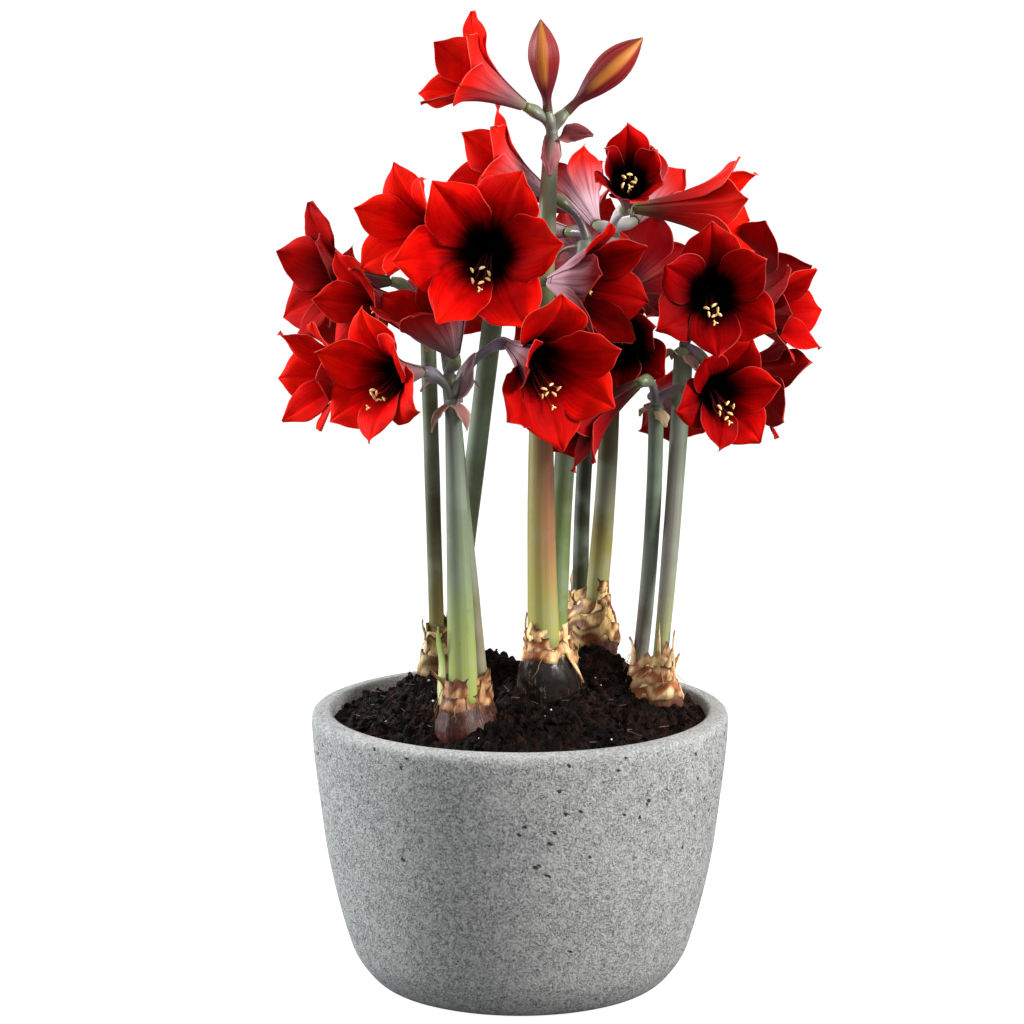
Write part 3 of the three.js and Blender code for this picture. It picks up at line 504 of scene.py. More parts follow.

# bloom: scape, form, petal length, roll in degrees, where its tube starts, the way it looks, how bright it is
# (its own tone, with painted shade on blooms in shade and painted light on lit ones), how pale outside and
# frilled it is, how much less its petals lean to the left and right than up and down, and the share of the
# petals that its dark throat takes
BLOOMS = {
    "A1": ("A", "flare", 0.09, 10, (0.003, -0.015, 0.76), (-0.8, -0.3, 0.46), 0.9, 0.1, 0.5, 0, 0.2),
    "B1": ("B", "wide", 0.104, -25, (-0.021, -0.062, 0.638), (-0.17, -0.96, 0.17), 0.9, 0.2, 2, 0, 0.38),
    "B2": ("B", "open", 0.086, 20, (-0.058, -0.02, 0.651), (-0.68, -0.64, 0.24), 0.98, 0.1, 0.8, 0, 0.2),
    "B3": ("B", "half", 0.084, 0, (-0.024, 0.04, 0.612), (-0.6, 0.62, 0.42), 0.6, 0.1, 0.6, 0, 0.35),
    "B4": ("B", "bell", 0.086, 12, (0.024, -0.048, 0.616), (0.86, -0.5, -0.02), 0.25, 1, 0.8, 0, 0.3),
    "C1": ("C", "open", 0.092, 10, (-0.082, -0.1, 0.547), (-0.62, -0.78, 0.02), 1, 0.2, 1, 0, 0.32),
    "C2": ("C", "open", 0.112, 4, (-0.009, -0.106, 0.57), (0.47, -0.85, -0.2), 0.42, 0.3, 1.6, 0.42, 0.34),
    "C3": ("C", "flare", 0.097, -24, (-0.109, -0.053, 0.543), (-0.88, -0.48, -0.01), 0.8, 0.1, 0.8, 0, 0.3),
    "X1": ("X", "bell", 0.08, -8, (-0.0545, -0.067, 0.556), (-0.42, -0.18, 0.88), 0.15, 0.12, 0.8, 0, 0.25),
    "X2": ("X", "open", 0.08, 25, (-0.094, -0.004, 0.593), (-0.82, -0.52, 0), 0.35, 0.05, 1, 0, 0.3),
    "D1": ("D", "open", 0.103, 10, (-0.114, 0.079, 0.602), (-0.85, -0.38, 0.08), 0.35, 0, 1, 0, 0.36),
    "D2": ("D", "open", 0.086, 10, (-0.11, 0.106, 0.58), (-0.68, 0.72, -0.14), 0.2, 0, 0.8, 0, 0.4),
    "D3": ("D", "open", 0.078, 10, (-0.07, 0.108, 0.588), (0.06, 0.97, -0.1), 0.7, 0.3, 0.8, 0, 0.4),
    "F1": ("F", "flare", 0.09, 10, (0.025, 0.02, 0.682), (-0.8, -0.25, 0.46), 0.75, 0.3, 0.8, 0, 0.25),
    "F2": ("F", "half", 0.088, 30, (0.04, 0.054, 0.648), (-0.7, 0.7, 0.02), 0.7, 0.4, 0.8, 0, 0.35),
    "F3": ("F", "open", 0.076, 30, (0.054, 0.084, 0.626), (0.08, 0.98, 0), 0.5, 0.3, 0.8, 0, 0.4),
    "G1": ("G", "half", 0.1, 0, (0.096, 0.068, 0.566), (-0.15, -0.95, -0.1), 0.12, 0, 0.8, 0, 0.62),
    "G2": ("G", "open", 0.093, 12, (0.086, 0.121, 0.584), (0.42, 0.85, 0.28), 0, 0, 0.8, 0, 0.5),
    "G3": ("G", "open", 0.084, 0, (0.06, 0.13, 0.57), (-0.35, 0.9, -0.15), 0.4, 0.2, 0.8, 0, 0.5),
    "H1": ("H", "cup", 0.078, 0, (0.091, 0.012, 0.675), (0, -0.8, 0.5), 0.36, 0.3, 0.4, 0.62, 0.5),
    "H2": ("H", "half", 0.106, 15, (0.098, 0.032, 0.67), (0.95, -0.15, 0.01), 1.25, 0, 0.5, 0, 0.3),
    "H3": ("H", "cup", 0.07, 0, (0.099, 0.072, 0.656), (0.36, 0.8, 0.44), 0.6, 0.3, 0.5, 0, 0.4),
    "H4": ("H", "cup", 0.074, 0, (0.066, 0.062, 0.654), (-0.3, 0.75, 0.5), 0.6, 0.6, 0.5, 0, 0.4),
    "I1": ("I", "half", 0.09, 0, (0.098, -0.04, 0.528), (-0.75, -0.35, -0.45), 0.15, 0, 0.6, 0, 0.55),
    "I2": ("I", "half", 0.072, 0, (0.116, 0.026, 0.508), (0.3, 0.88, -0.3), 0.2, 0.1, 0.6, 0, 0.5),
    "I3": ("I", "open", 0.081, -22, (0.15, -0.025, 0.523), (0.4, -0.9, 0.02), 0.36, 0.2, 0.8, 0.05, 0.4),
    "J1": ("J", "open", 0.096, 0, (0.156, -0.032, 0.602), (0.05, -0.97, 0.14), 0.22, 0.3, 1, 0.15, 0.42),
    "J2": ("J", "open", 0.096, 30, (0.16, 0.032, 0.583), (0.6, 0.42, 0.35), 0.1, 0.1, 0.8, 0, 0.45),
    "J3": ("J", "flare", 0.086, 30, (0.172, 0.006, 0.583), (0.88, -0.42, 0.06), 0.35, 0.1, 0.8, 0, 0.35),
    "J4": ("J", "open", 0.084, 0, (0.164, 0.008, 0.538), (0.82, 0.14, -0.22), 0.2, 0, 0.8, 0, 0.45),
}
# bud: scape, length, radius, where it starts, the way it points, and its roll in degrees
BUDS = {
    "A2": ("A", 0.078, 0.013, (0.023, -0.008, 0.756), (-0.08, -0.02, 1.0), 16),
    "A3": ("A", 0.09, 0.014, (0.04, 0.0, 0.755), (0.72, 0.1, 0.69), 46),
}
# every bloom and bud: its scape, where it starts, and the way it looks
MOUNTS = {name: (row[0], row[4], row[5]) for name, row in BLOOMS.items()}
MOUNTS.update((name, (row[0], row[3], row[4])) for name, row in BUDS.items())

# scape colours from foot to umbel, then a blush: its colour, the side it is on in degrees (0 faces right,
# -90 faces the viewer), where it starts and ends along the scape, and its strength
SCAPE_SHADES = {
    "C": ([srgb(186, 198, 104), srgb(150, 168, 128), srgb(132, 146, 128), srgb(112, 118, 112)],
          srgb(130, 134, 130), -130, 0.3, 1.0, 0.6),
    "X": ([srgb(160, 150, 110), srgb(130, 142, 112), srgb(124, 136, 112), srgb(110, 120, 100)],
          srgb(140, 110, 95), -60, 0.0, 0.5, 0.5),
    "D": ([srgb(150, 140, 80), srgb(84, 74, 52), srgb(92, 94, 62), srgb(128, 138, 104)],
          srgb(120, 128, 112), 180, 0.0, 1.0, 0.7),
    "B": ([srgb(178, 148, 128), srgb(128, 138, 116), srgb(134, 152, 130), srgb(140, 156, 134)],
          srgb(96, 112, 70), -60, 0.3, 1.0, 0.5),
    "A": ([srgb(196, 192, 104), srgb(172, 158, 98), srgb(138, 148, 96), srgb(150, 168, 142)],
          srgb(196, 112, 92), -50, 0.06, 0.6, 0.75),
    "F": ([srgb(150, 170, 92), srgb(120, 138, 84), srgb(124, 134, 104), srgb(124, 128, 112)],
          srgb(84, 98, 56), 10, 0.0, 0.8, 0.5),
    "G": ([srgb(66, 70, 46), srgb(44, 46, 38), srgb(58, 66, 58), srgb(86, 96, 88)],
          srgb(128, 140, 126), 180, 0.2, 1.0, 0.5),
    "H": ([srgb(176, 166, 88), srgb(116, 108, 62), srgb(98, 100, 66), srgb(120, 132, 104)],
          srgb(92, 70, 44), -120, 0.1, 0.9, 0.75),
    "I": ([srgb(122, 108, 108), srgb(118, 118, 116), srgb(112, 124, 112), srgb(104, 112, 92)],
          srgb(132, 150, 118), -20, 0.1, 1.0, 0.6),
    "J": ([srgb(182, 184, 118), srgb(158, 158, 146), srgb(150, 162, 142), srgb(136, 150, 122)],
          srgb(162, 150, 156), -130, 0.1, 0.8, 0.7),
}
# dry colour of the face and the margin of each bract; the last pair also serves the bracts after it
BRACT_SHADES = {
    "C": [(srgb(134, 84, 74), srgb(206, 176, 142)), (srgb(176, 120, 112), srgb(214, 186, 160)),
          (srgb(118, 94, 100), srgb(150, 128, 128))],
    "X": [(srgb(132, 100, 100), srgb(160, 130, 120))], "D": [(srgb(150, 120, 84), srgb(190, 160, 120))],
    "B": [(srgb(190, 178, 170), srgb(214, 200, 184))],
    "A": [(srgb(120, 40, 46), srgb(176, 92, 92)), (srgb(188, 108, 118), srgb(206, 150, 150)),
          (srgb(170, 84, 98), srgb(200, 140, 142))],
    "F": [(srgb(150, 130, 110), srgb(200, 180, 150))], "G": [(srgb(96, 70, 60), srgb(140, 110, 90))],
    "H": [(srgb(186, 160, 160), srgb(220, 200, 190))], "I": [(srgb(180, 156, 118), srgb(206, 188, 150))],
    "J": [(srgb(178, 158, 134), srgb(222, 208, 186)), (srgb(150, 110, 100), srgb(200, 176, 150))],
}
COLLARED = "A"                        # the tallest scape, with a pink sleeve that has a dark upper edge
COLLAR = srgb(184, 82, 92)
COLLAR_EDGE = srgb(92, 34, 40)
# colours of the pedicels from umbel to bloom, for the scapes whose pedicels are known to differ
PEDICEL_SHADES = {
    "": [srgb(120, 118, 108), srgb(112, 104, 116), srgb(126, 112, 128), srgb(118, 128, 92),
         srgb(132, 142, 88)],
    "A": [srgb(82, 84, 62), srgb(76, 66, 56), srgb(84, 58, 54), srgb(92, 92, 56), srgb(124, 128, 78)],
    # the pale lilac of C and the near-white of H are partly waxy bloom and partly painted highlight
    "C": [srgb(84, 76, 70), srgb(44, 34, 50), srgb(58, 44, 70), srgb(160, 150, 188), srgb(80, 68, 70)],
    "H": [srgb(190, 200, 190), srgb(240, 240, 250), srgb(244, 240, 252), srgb(186, 192, 168),
          srgb(140, 148, 104)],
}


def between(first, second, share):
    """Two colours, or two rows of numbers, mixed one by one."""
    return [mix(a, b, share) for a, b in zip(first, second)]


def shade_between(shades, t):
    """The colour at a share of the way along a row of colours."""
    t = min(max(t, 0.0), 1.0) * (len(shades) - 1)
    k = min(int(t), len(shades) - 2)
    return between(shades[k], shades[k + 1], t - k)


def paint(piece, shades):
    """The piece's own colour, point by point, as an attribute."""
    layer = piece.data.attributes.new("shade", "FLOAT_COLOR", "POINT")
    layer.data.foreach_set("color", [c for shade in shades for c in shade])


def mark(piece, name, values):
    """A number for the whole piece, or one for each of its points, as an attribute."""
    if not isinstance(values, list):
        values = [values] * len(piece.data.vertices)
    piece.data.attributes.new(name, "FLOAT", "POINT").data.foreach_set("value", values)


def spots_of(columns, rows):
    """Across and along of every point of a sheet, in the order of its points."""
    return [(2 * i / columns - 1, j / rows) for j in range(rows + 1) for i in range(columns + 1)]


def scape_path(name):
    """The line along the middle of a scape, and the way it points at its umbel."""
    foot, top, _, _, bow = SCAPES[name]
    foot, top, bow = Vector(foot), Vector(top), Vector((bow, 0, 0))

    def point(t):
        return foot.lerp(top, t) + bow * 4 * t * (1 - t)
    return point, (point(1.0) - point(0.96)).normalized()


def curve(start, first, second, end):
    """A path that leaves its start towards the first point and comes to its end from the second."""
    def path(t):
        back = 1 - t
        return start * back ** 3 + first * 3 * back * back * t + second * 3 * back * t * t + end * t ** 3
    return path


def tube(name, columns, rows, path, size, flat=Vector((0.31, 0.2, 0.93)), start=0.0, end=1.0):
    """A closed tube round a path. size(t, turn) gives its radii, and its ends draw in to a point."""
    def where(t):
        ahead = (path(t + 0.004) - path(t - 0.004)).normalized()
        side = (flat - ahead * flat.dot(ahead)).normalized()
        return path(t), side, ahead.cross(side)

    stations = {}

    def place(across, along):
        key = round(along * rows)
        if key not in stations:
            stations[key] = where(mix(start, end, key / rows))
        spot, side, other = stations[key]
        turn = math.pi * across
        wide, deep = size(mix(start, end, along), turn)
        closing = 1.0 if 0 < key < rows else 0.02
        return spot + (side * math.cos(turn) * wide + other * math.sin(turn) * deep) * closing
    return sheet(name, columns, rows, place)


def close_tube(piece):
    """Join the seam of a tube and close its ends."""
    deselect()
    piece.select_set(True)
    bpy.context.view_layer.objects.active = piece
    bpy.ops.object.mode_set(mode="EDIT")
    bpy.ops.mesh.select_all(action="SELECT")
    bpy.ops.mesh.remove_doubles(threshold=2e-6)
    bpy.ops.mesh.select_all(action="DESELECT")
    bpy.ops.mesh.select_non_manifold(extend=False)
    bpy.ops.mesh.edge_face_add()
    bpy.ops.mesh.select_all(action="SELECT")
    bpy.ops.mesh.normals_make_consistent(inside=False)
    bpy.ops.object.mode_set(mode="OBJECT")
    return piece


def thicken(piece, thickness, **settings):
    """Give a thin sheet its thickness, half of it on either side."""
    deselect()
    piece.select_set(True)
    bpy.context.view_layer.objects.active = piece
    modifier = piece.modifiers.new("solidify", "SOLIDIFY")
    modifier.thickness, modifier.offset = thickness, 0
    for key, value in settings.items():
        setattr(modifier, key, value)
    bpy.ops.object.modifier_apply(modifier=modifier.name)


def smooth_faces(piece):
    piece.data.polygons.foreach_set("use_smooth", [True] * len(piece.data.polygons))


def scape_seed(name):
    return ord(name) * 3.1


def build_stem(name, point):
    """The stalk itself, faintly ridged, with its colours and its blush."""
    shades, blush, side, low, high, strength = SCAPE_SHADES[name]
    foot, top, foot_radius, top_radius, _ = SCAPES[name]
    start = -SCAPE_DEPTH / (Vector(top) - Vector(foot)).length
    seed = scape_seed(name)

    def size(t, turn):
        round_off = 1 - smooth(t, UMBEL_AT, SCAPE_END) * 0.45
        radius = mix(foot_radius, top_radius, max(t, 0.0)) * round_off
        ridge = 1 + 0.012 * math.cos(2 * turn) + 0.008 * math.sin(5 * turn + seed)
        ridge += 0.006 * math.sin(9 * turn - seed)
        uneven = 1 + 0.03 * noise.noise(Vector((t * 5, seed, 0.0)))
        return radius * ridge * uneven, radius * TWO_EDGED * ridge * uneven

    stem = tube("stem", *STEM_GRID, point, size, flat=Vector((0, 1, 0)), start=start, end=SCAPE_END)
    colours = []
    for across, along in spots_of(*STEM_GRID):
        t = mix(start, 1.0, along)
        turn = math.degrees(math.pi * across) + 90
        away = abs((turn - side + 180) % 360 - 180)
        reach = smooth(t, low - 0.08, low + 0.12) * (1 - smooth(t, high - 0.15, high + 0.08))
        wash = strength * math.exp(-(away / BLUSH_WIDTH) ** 2) * reach
        colour = between(shade_between(shades, t), blush, wash)
        if name == COLLARED:
            sleeve = smooth(t, 0.905 + 0.02 * math.sin(turn * 0.05), 0.925)
            colour = between(colour, COLLAR, sleeve * 0.85)
            colour = between(colour, COLLAR_EDGE, smooth(t, 0.95, 0.965))
        colours.append(colour)
    paint(stem, colours)
    stem.data.materials.append(waxy_stem)
    return close_tube(stem)


def build_pedicel(name, bloom_name, umbel, up):
    """The short stalk from the umbel to one bloom, with the ovary that swells behind the bloom."""
    _, base, look = MOUNTS[bloom_name]
    look = Vector(look).normalized()
    end = Vector(base) - look * JOINT_GAP
    span = (end - umbel).length
    first = umbel + up * span * 0.33 + (end - umbel) * 0.12
    second = end - look * span * 0.34
    ovary_at = 1 - 0.011 / max(span, 0.02)

    def size(t, turn):
        belly = math.exp(-((t - ovary_at) / (0.008 / span)) ** 2)
        radius = mix(PEDICEL_RADIUS, TUBE_RADIUS, smooth(t, 0.9, 1.0))
        radius += (OVARY_RADIUS - PEDICEL_RADIUS) * belly
        radius += 0.0012 * max(0.0, 1 - t / 0.2)
        radius *= 1 + 0.1 * belly * math.cos(3 * turn)
        return radius, radius

    stalk = tube("stalk", *PEDICEL_GRID, curve(umbel, first, second, end), size)
    tint = mix(0.75, 1.15, chance(ord(bloom_name[1]) * 1.7 + ord(name)))
    hues = PEDICEL_SHADES.get(name, PEDICEL_SHADES[""])
    paint(stalk, [[c * tint for c in shade_between(hues, along)] for _, along in spots_of(*PEDICEL_GRID)])
    mark(stalk, "gloss_and_painted_highlight", 1.0)
    stalk.data.materials.append(waxy_stem)
    return close_tube(stalk)


def build_bract(name, index, umbel):
    """A dry bract that stands out from the umbel and hangs over."""
    turn, length, half, rise, fall, twist = BRACTS[name][index]
    shades = BRACT_SHADES[name]
    face, margin = shades[min(index, len(shades) - 1)]
    turn = math.radians(turn)
    out = Vector((math.cos(turn), math.sin(turn), 0))
    side_way = Vector((-math.sin(turn), math.cos(turn), 0))
    rag = scape_seed(name) + index * 4.7
    stride = length / BRACT_STEPS
    line = [(SCAPES[name][3] - 0.0026, -0.003)]
    for i in range(BRACT_STEPS):
        angle = math.radians(mix(rise, fall, (i + 0.5) / BRACT_STEPS))
        line.append((line[-1][0] + stride * math.cos(angle), line[-1][1] + stride * math.sin(angle)))

    def place(across, along):
        step = min(int(along * BRACT_STEPS), BRACT_STEPS - 1)
        far, high = between(line[step], line[step + 1], along * BRACT_STEPS - step)
        angle = math.radians(mix(rise, fall, along))
        taper = 0.8 + 0.4 * along if along < 0.5 else 1 - 1.8 * (along - 0.5)
        wide = across * half * max(taper, 0.04) * (1 + 0.12 * noise.noise(Vector((along * 6, across, rag))))
        fold = 0.0022 * noise.noise(Vector((across * 2.2, along * 3, rag))) * along - 32 * wide * wide
        upper = out * -math.sin(angle) + Vector((0, 0, math.cos(angle)))
        own = math.radians(twist) * smooth(along, 0.0, 0.35)
        wide_way = side_way * math.cos(own) + upper * math.sin(own)
        thick_way = upper * math.cos(own) - side_way * math.sin(own)
        return umbel + out * far + Vector((0, 0, high)) + wide_way * wide + thick_way * fold

    bract = sheet("bract", *BRACT_GRID, place)
    colours = []
    for across, along in spots_of(*BRACT_GRID):
        edge = smooth(abs(across), 0.6, 1.0) + smooth(along, 0.8, 1.0)
        colours.append(between(face, margin, min(edge, 1.0)))
    paint(bract, colours)
    bract.data.materials.append(papery_bract)
    thicken(bract, BRACT_THICK)
    return bract


def build_scape(name):
    point, up = scape_path(name)
    umbel = point(UMBEL_AT)
    parts = [build_stem(name, point)]
    parts += [build_pedicel(name, bloom, umbel, up) for bloom, mount in MOUNTS.items() if mount[0] == name]
    parts += [build_bract(name, k, umbel) for k in range(len(BRACTS[name]))]
    scape = join(parts, "stalk_" + name)
    smooth_faces(scape)
    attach(scape, "root")
    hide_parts("scape_" + name)


def attribute(tree, name, output="Fac"):
    return put_node(tree, "ShaderNodeAttribute", attribute_name=name).outputs[output]


def streak_group():
    """Long streaks that run with the grain of a petal, a stalk or a dry scale."""
    group = bpy.data.node_groups.new("long_streaks", "ShaderNodeTree")
    for name, value in (("Count", 30.0), ("Waver", 1.5), ("Contrast", 0.2)):
        socket = group.interface.new_socket(name, in_out="INPUT", socket_type="NodeSocketFloat")
        socket.default_value = value
    group.interface.new_socket("Mask", in_out="OUTPUT", socket_type="NodeSocketFloat")
    entry = group.nodes.new("NodeGroupInput")
    leave = group.nodes.new("NodeGroupOutput")
    spot = put_node(group, "ShaderNodeTexCoord")
    split = put_node(group, "ShaderNodeSeparateXYZ", {"Vector": spot.outputs["UV"]})
    near = noise_at(group, spot.outputs["Object"], 9.0)
    across = times(group, split.outputs["X"], entry.outputs["Count"])
    along = times(group, split.outputs["Y"], entry.outputs["Waver"])
    vector = put_node(group, "ShaderNodeCombineXYZ", {"X": across, "Y": along, "Z": near}).outputs["Vector"]
    streaks = noise_at(group, vector, 1.0, Detail=2.5)
    low = arithmetic(group, "SUBTRACT", 0.5, entry.outputs["Contrast"])
    high = arithmetic(group, "ADD", 0.5, entry.outputs["Contrast"])
    mask = put_node(group, "ShaderNodeMapRange", {"Value": streaks, "From Min": low, "From Max": high})
    group.links.new(mask.outputs["Result"], leave.inputs["Mask"])
    return group


long_streaks = streak_group()


def streaks(tree, count, waver, contrast=0.2):
    sockets = {"Count": count, "Waver": waver, "Contrast": contrast}
    return put_node(tree, "ShaderNodeGroup", sockets, node_tree=long_streaks).outputs["Mask"]


waxy_stem, tree, shader = new_material("waxy_stem", Roughness=0.42, Specular_IOR_Level=0.35)
own = attribute(tree, "shade", "Color")
where = object_place(tree)
lines = streaks(tree, 46, 2.0, 0.22)
freckle = noise_at(tree, where, 55, Detail=3)
dust = noise_at(tree, where, 24, Detail=4)
dark_line = blend(tree, 1.0, own, (0.72, 0.76, 0.66, 1), "MULTIPLY")
base = blend(tree, remap(tree, lines, 0, 1, 0.0, 0.55), own, dark_line)
waxed = blend(tree, 0.4, base, srgb(168, 184, 172))
base = blend(tree, remap(tree, dust, 0.42, 0.62, 0.0, 0.8), base, waxed)
base = blend(tree, remap(tree, freckle, 0.66, 0.74, 0.0, 0.5), base, dark_line)
# pedicels are smoother, and keep lighter colours than the scapes as painted highlight
gloss_and_painted_highlight = attribute(tree, "gloss_and_painted_highlight")
base = blend(tree, remap(tree, gloss_and_painted_highlight, 0, 1, 1.0, 0.4), base,
             blend(tree, 1.0, base, (0.62, 0.62, 0.58, 1), "MULTIPLY"))
tree.links.new(base, shader.inputs["Base Color"])
rough = arithmetic(tree, "SUBTRACT", remap(tree, dust, 0.4, 0.65, 0.38, 0.55), times(tree, gloss_and_painted_highlight, 0.16))
tree.links.new(rough, shader.inputs["Roughness"])
bump(tree, shader, lines, 0.25, 0.0004)

papery_bract, tree, shader = new_material("papery_bract", Roughness=0.7)
own = attribute(tree, "shade", "Color")
lines = streaks(tree, 18, 1.2, 0.2)
worn = blend(tree, 1.0, own, (0.55, 0.5, 0.5, 1), "MULTIPLY")
tree.links.new(blend(tree, remap(tree, lines, 0, 1, 0.0, 0.7), own, worn), shader.inputs["Base Color"])
bump(tree, shader, lines, 0.5, 0.0005)

for scape_name in SCAPES:
    build_scape(scape_name)


# ---------- the bulbs ----------
# Five bulbs, half sunk in the soil. Each neck is wrapped in thin papery scales, cream where they are whole
# and brown where they tore off, with loose peels and threads, and a thin dark skin on its shoulder.

# bulb: scapes, top of neck, radius of neck and of shoulder, shift to the right, colours of neck, of brown
# edges and painted shade in creases, of torn ends and of shoulder, how wet the shoulder is, then for each
# ring of scales how far below the top it ends, how long it is and how far it stands off, and last how much
# lower the rings sit on the side of the second scape, or of the first where it is negative
BULBS = {
    "bulb_1": ("CX", 0.288, 0.016, 0.0285, -0.0025, srgb(204, 158, 108), srgb(108, 58, 32), srgb(56, 26, 14),
               srgb(84, 34, 20), 0.5,
               ((0.0, 0.014, 0.0006), (0.006, 0.014, 0.001), (0.013, 0.013, 0.0012)), 0.0),
    "bulb_2": ("DB", 0.305, 0.012, 0.024, 0.001, srgb(196, 172, 120), srgb(110, 84, 44), srgb(56, 36, 22),
               srgb(70, 50, 32), 0.2,
               ((0.0, 0.016, 0.0006), (0.012, 0.018, 0.001), (0.024, 0.02, 0.0014)), 0.0),
    "bulb_3": ("AF", 0.319, 0.0162, 0.0275, -0.001, srgb(250, 220, 160), srgb(146, 80, 34), srgb(52, 24, 12),
               srgb(27, 22, 20), 1.0,
               ((0.0, 0.014, 0.0004), (0.009, 0.014, 0.0008), (0.017, 0.012, 0.0012)), 0.012),
    "bulb_4": ("GH", 0.341, 0.0118, 0.0225, 0.0, srgb(238, 204, 138), srgb(116, 62, 28), srgb(44, 20, 12),
               srgb(92, 30, 20), 0.4,
               ((0.0, 0.014, 0.001), (0.013, 0.016, 0.0012), (0.026, 0.018, 0.0016), (0.037, 0.018, 0.001)),
               -0.026),
    "bulb_5": ("IJ", 0.292, 0.0108, 0.025, 0.001, srgb(252, 222, 168), srgb(160, 90, 50), srgb(84, 40, 24),
               srgb(110, 66, 40), 0.3,
               ((0.0, 0.018, 0.0006), (0.012, 0.018, 0.0014), (0.024, 0.016, 0.0022)), -0.026),
}
# peel: bulb, turn in degrees (-90 faces the viewer), depth of foot and of tip, half width, lean outwards
PEELS = (
    ("bulb_1", -160, 0.016, -0.006, 0.006, 0.009), ("bulb_1", -35, 0.022, 0.002, 0.004, 0.003),
    ("bulb_1", 150, 0.02, -0.003, 0.005, 0.004), ("bulb_2", -160, 0.014, -0.004, 0.003, 0.002),
    ("bulb_2", -80, 0.03, 0.012, 0.004, 0.003), ("bulb_2", 40, 0.02, -0.004, 0.004, 0.003),
    ("bulb_3", -172, 0.012, -0.009, 0.0016, 0.001), ("bulb_3", -25, 0.0, 0.05, 0.004, 0.003),
    ("bulb_3", -150, 0.022, 0.004, 0.004, 0.003), ("bulb_3", 120, 0.02, -0.006, 0.005, 0.003),
    ("bulb_4", -165, 0.03, 0.014, 0.005, 0.003), ("bulb_4", -60, 0.036, 0.018, 0.007, 0.003),
    ("bulb_4", 110, 0.02, -0.004, 0.006, 0.005), ("bulb_5", -100, 0.016, -0.026, 0.0018, 0.001),
    ("bulb_5", -66, 0.026, -0.004, 0.0045, 0.005), ("bulb_5", -30, 0.028, -0.017, 0.0042, 0.003),
    ("bulb_5", 0, 0.03, 0.006, 0.006, 0.007), ("bulb_5", 170, 0.02, -0.004, 0.005, 0.003),
    ("bulb_5", 90, 0.024, -0.006, 0.006, 0.005),
)
THREADS = 9
THREAD_RADIUS = 0.0003
BULB_DEPTH = 0.1
NECK_END = 0.004             # how far below the top the side of a neck ends
LID = 0.93                   # share of a neck's grid that is its side; the rest closes its top
LID_DEPTH = 0.006
SCALE_THICK = 0.0005
CORE_GRID, SCALE_GRID, PEEL_GRID, THREAD_GRID = (56, 34), (96, 16), (8, 16), (4, 12)


def ring_noise(turn, scale, height):
    """Noise that meets itself on the way round a neck."""
    return noise.noise(Vector((math.cos(turn) * scale, math.sin(turn) * scale, height)))


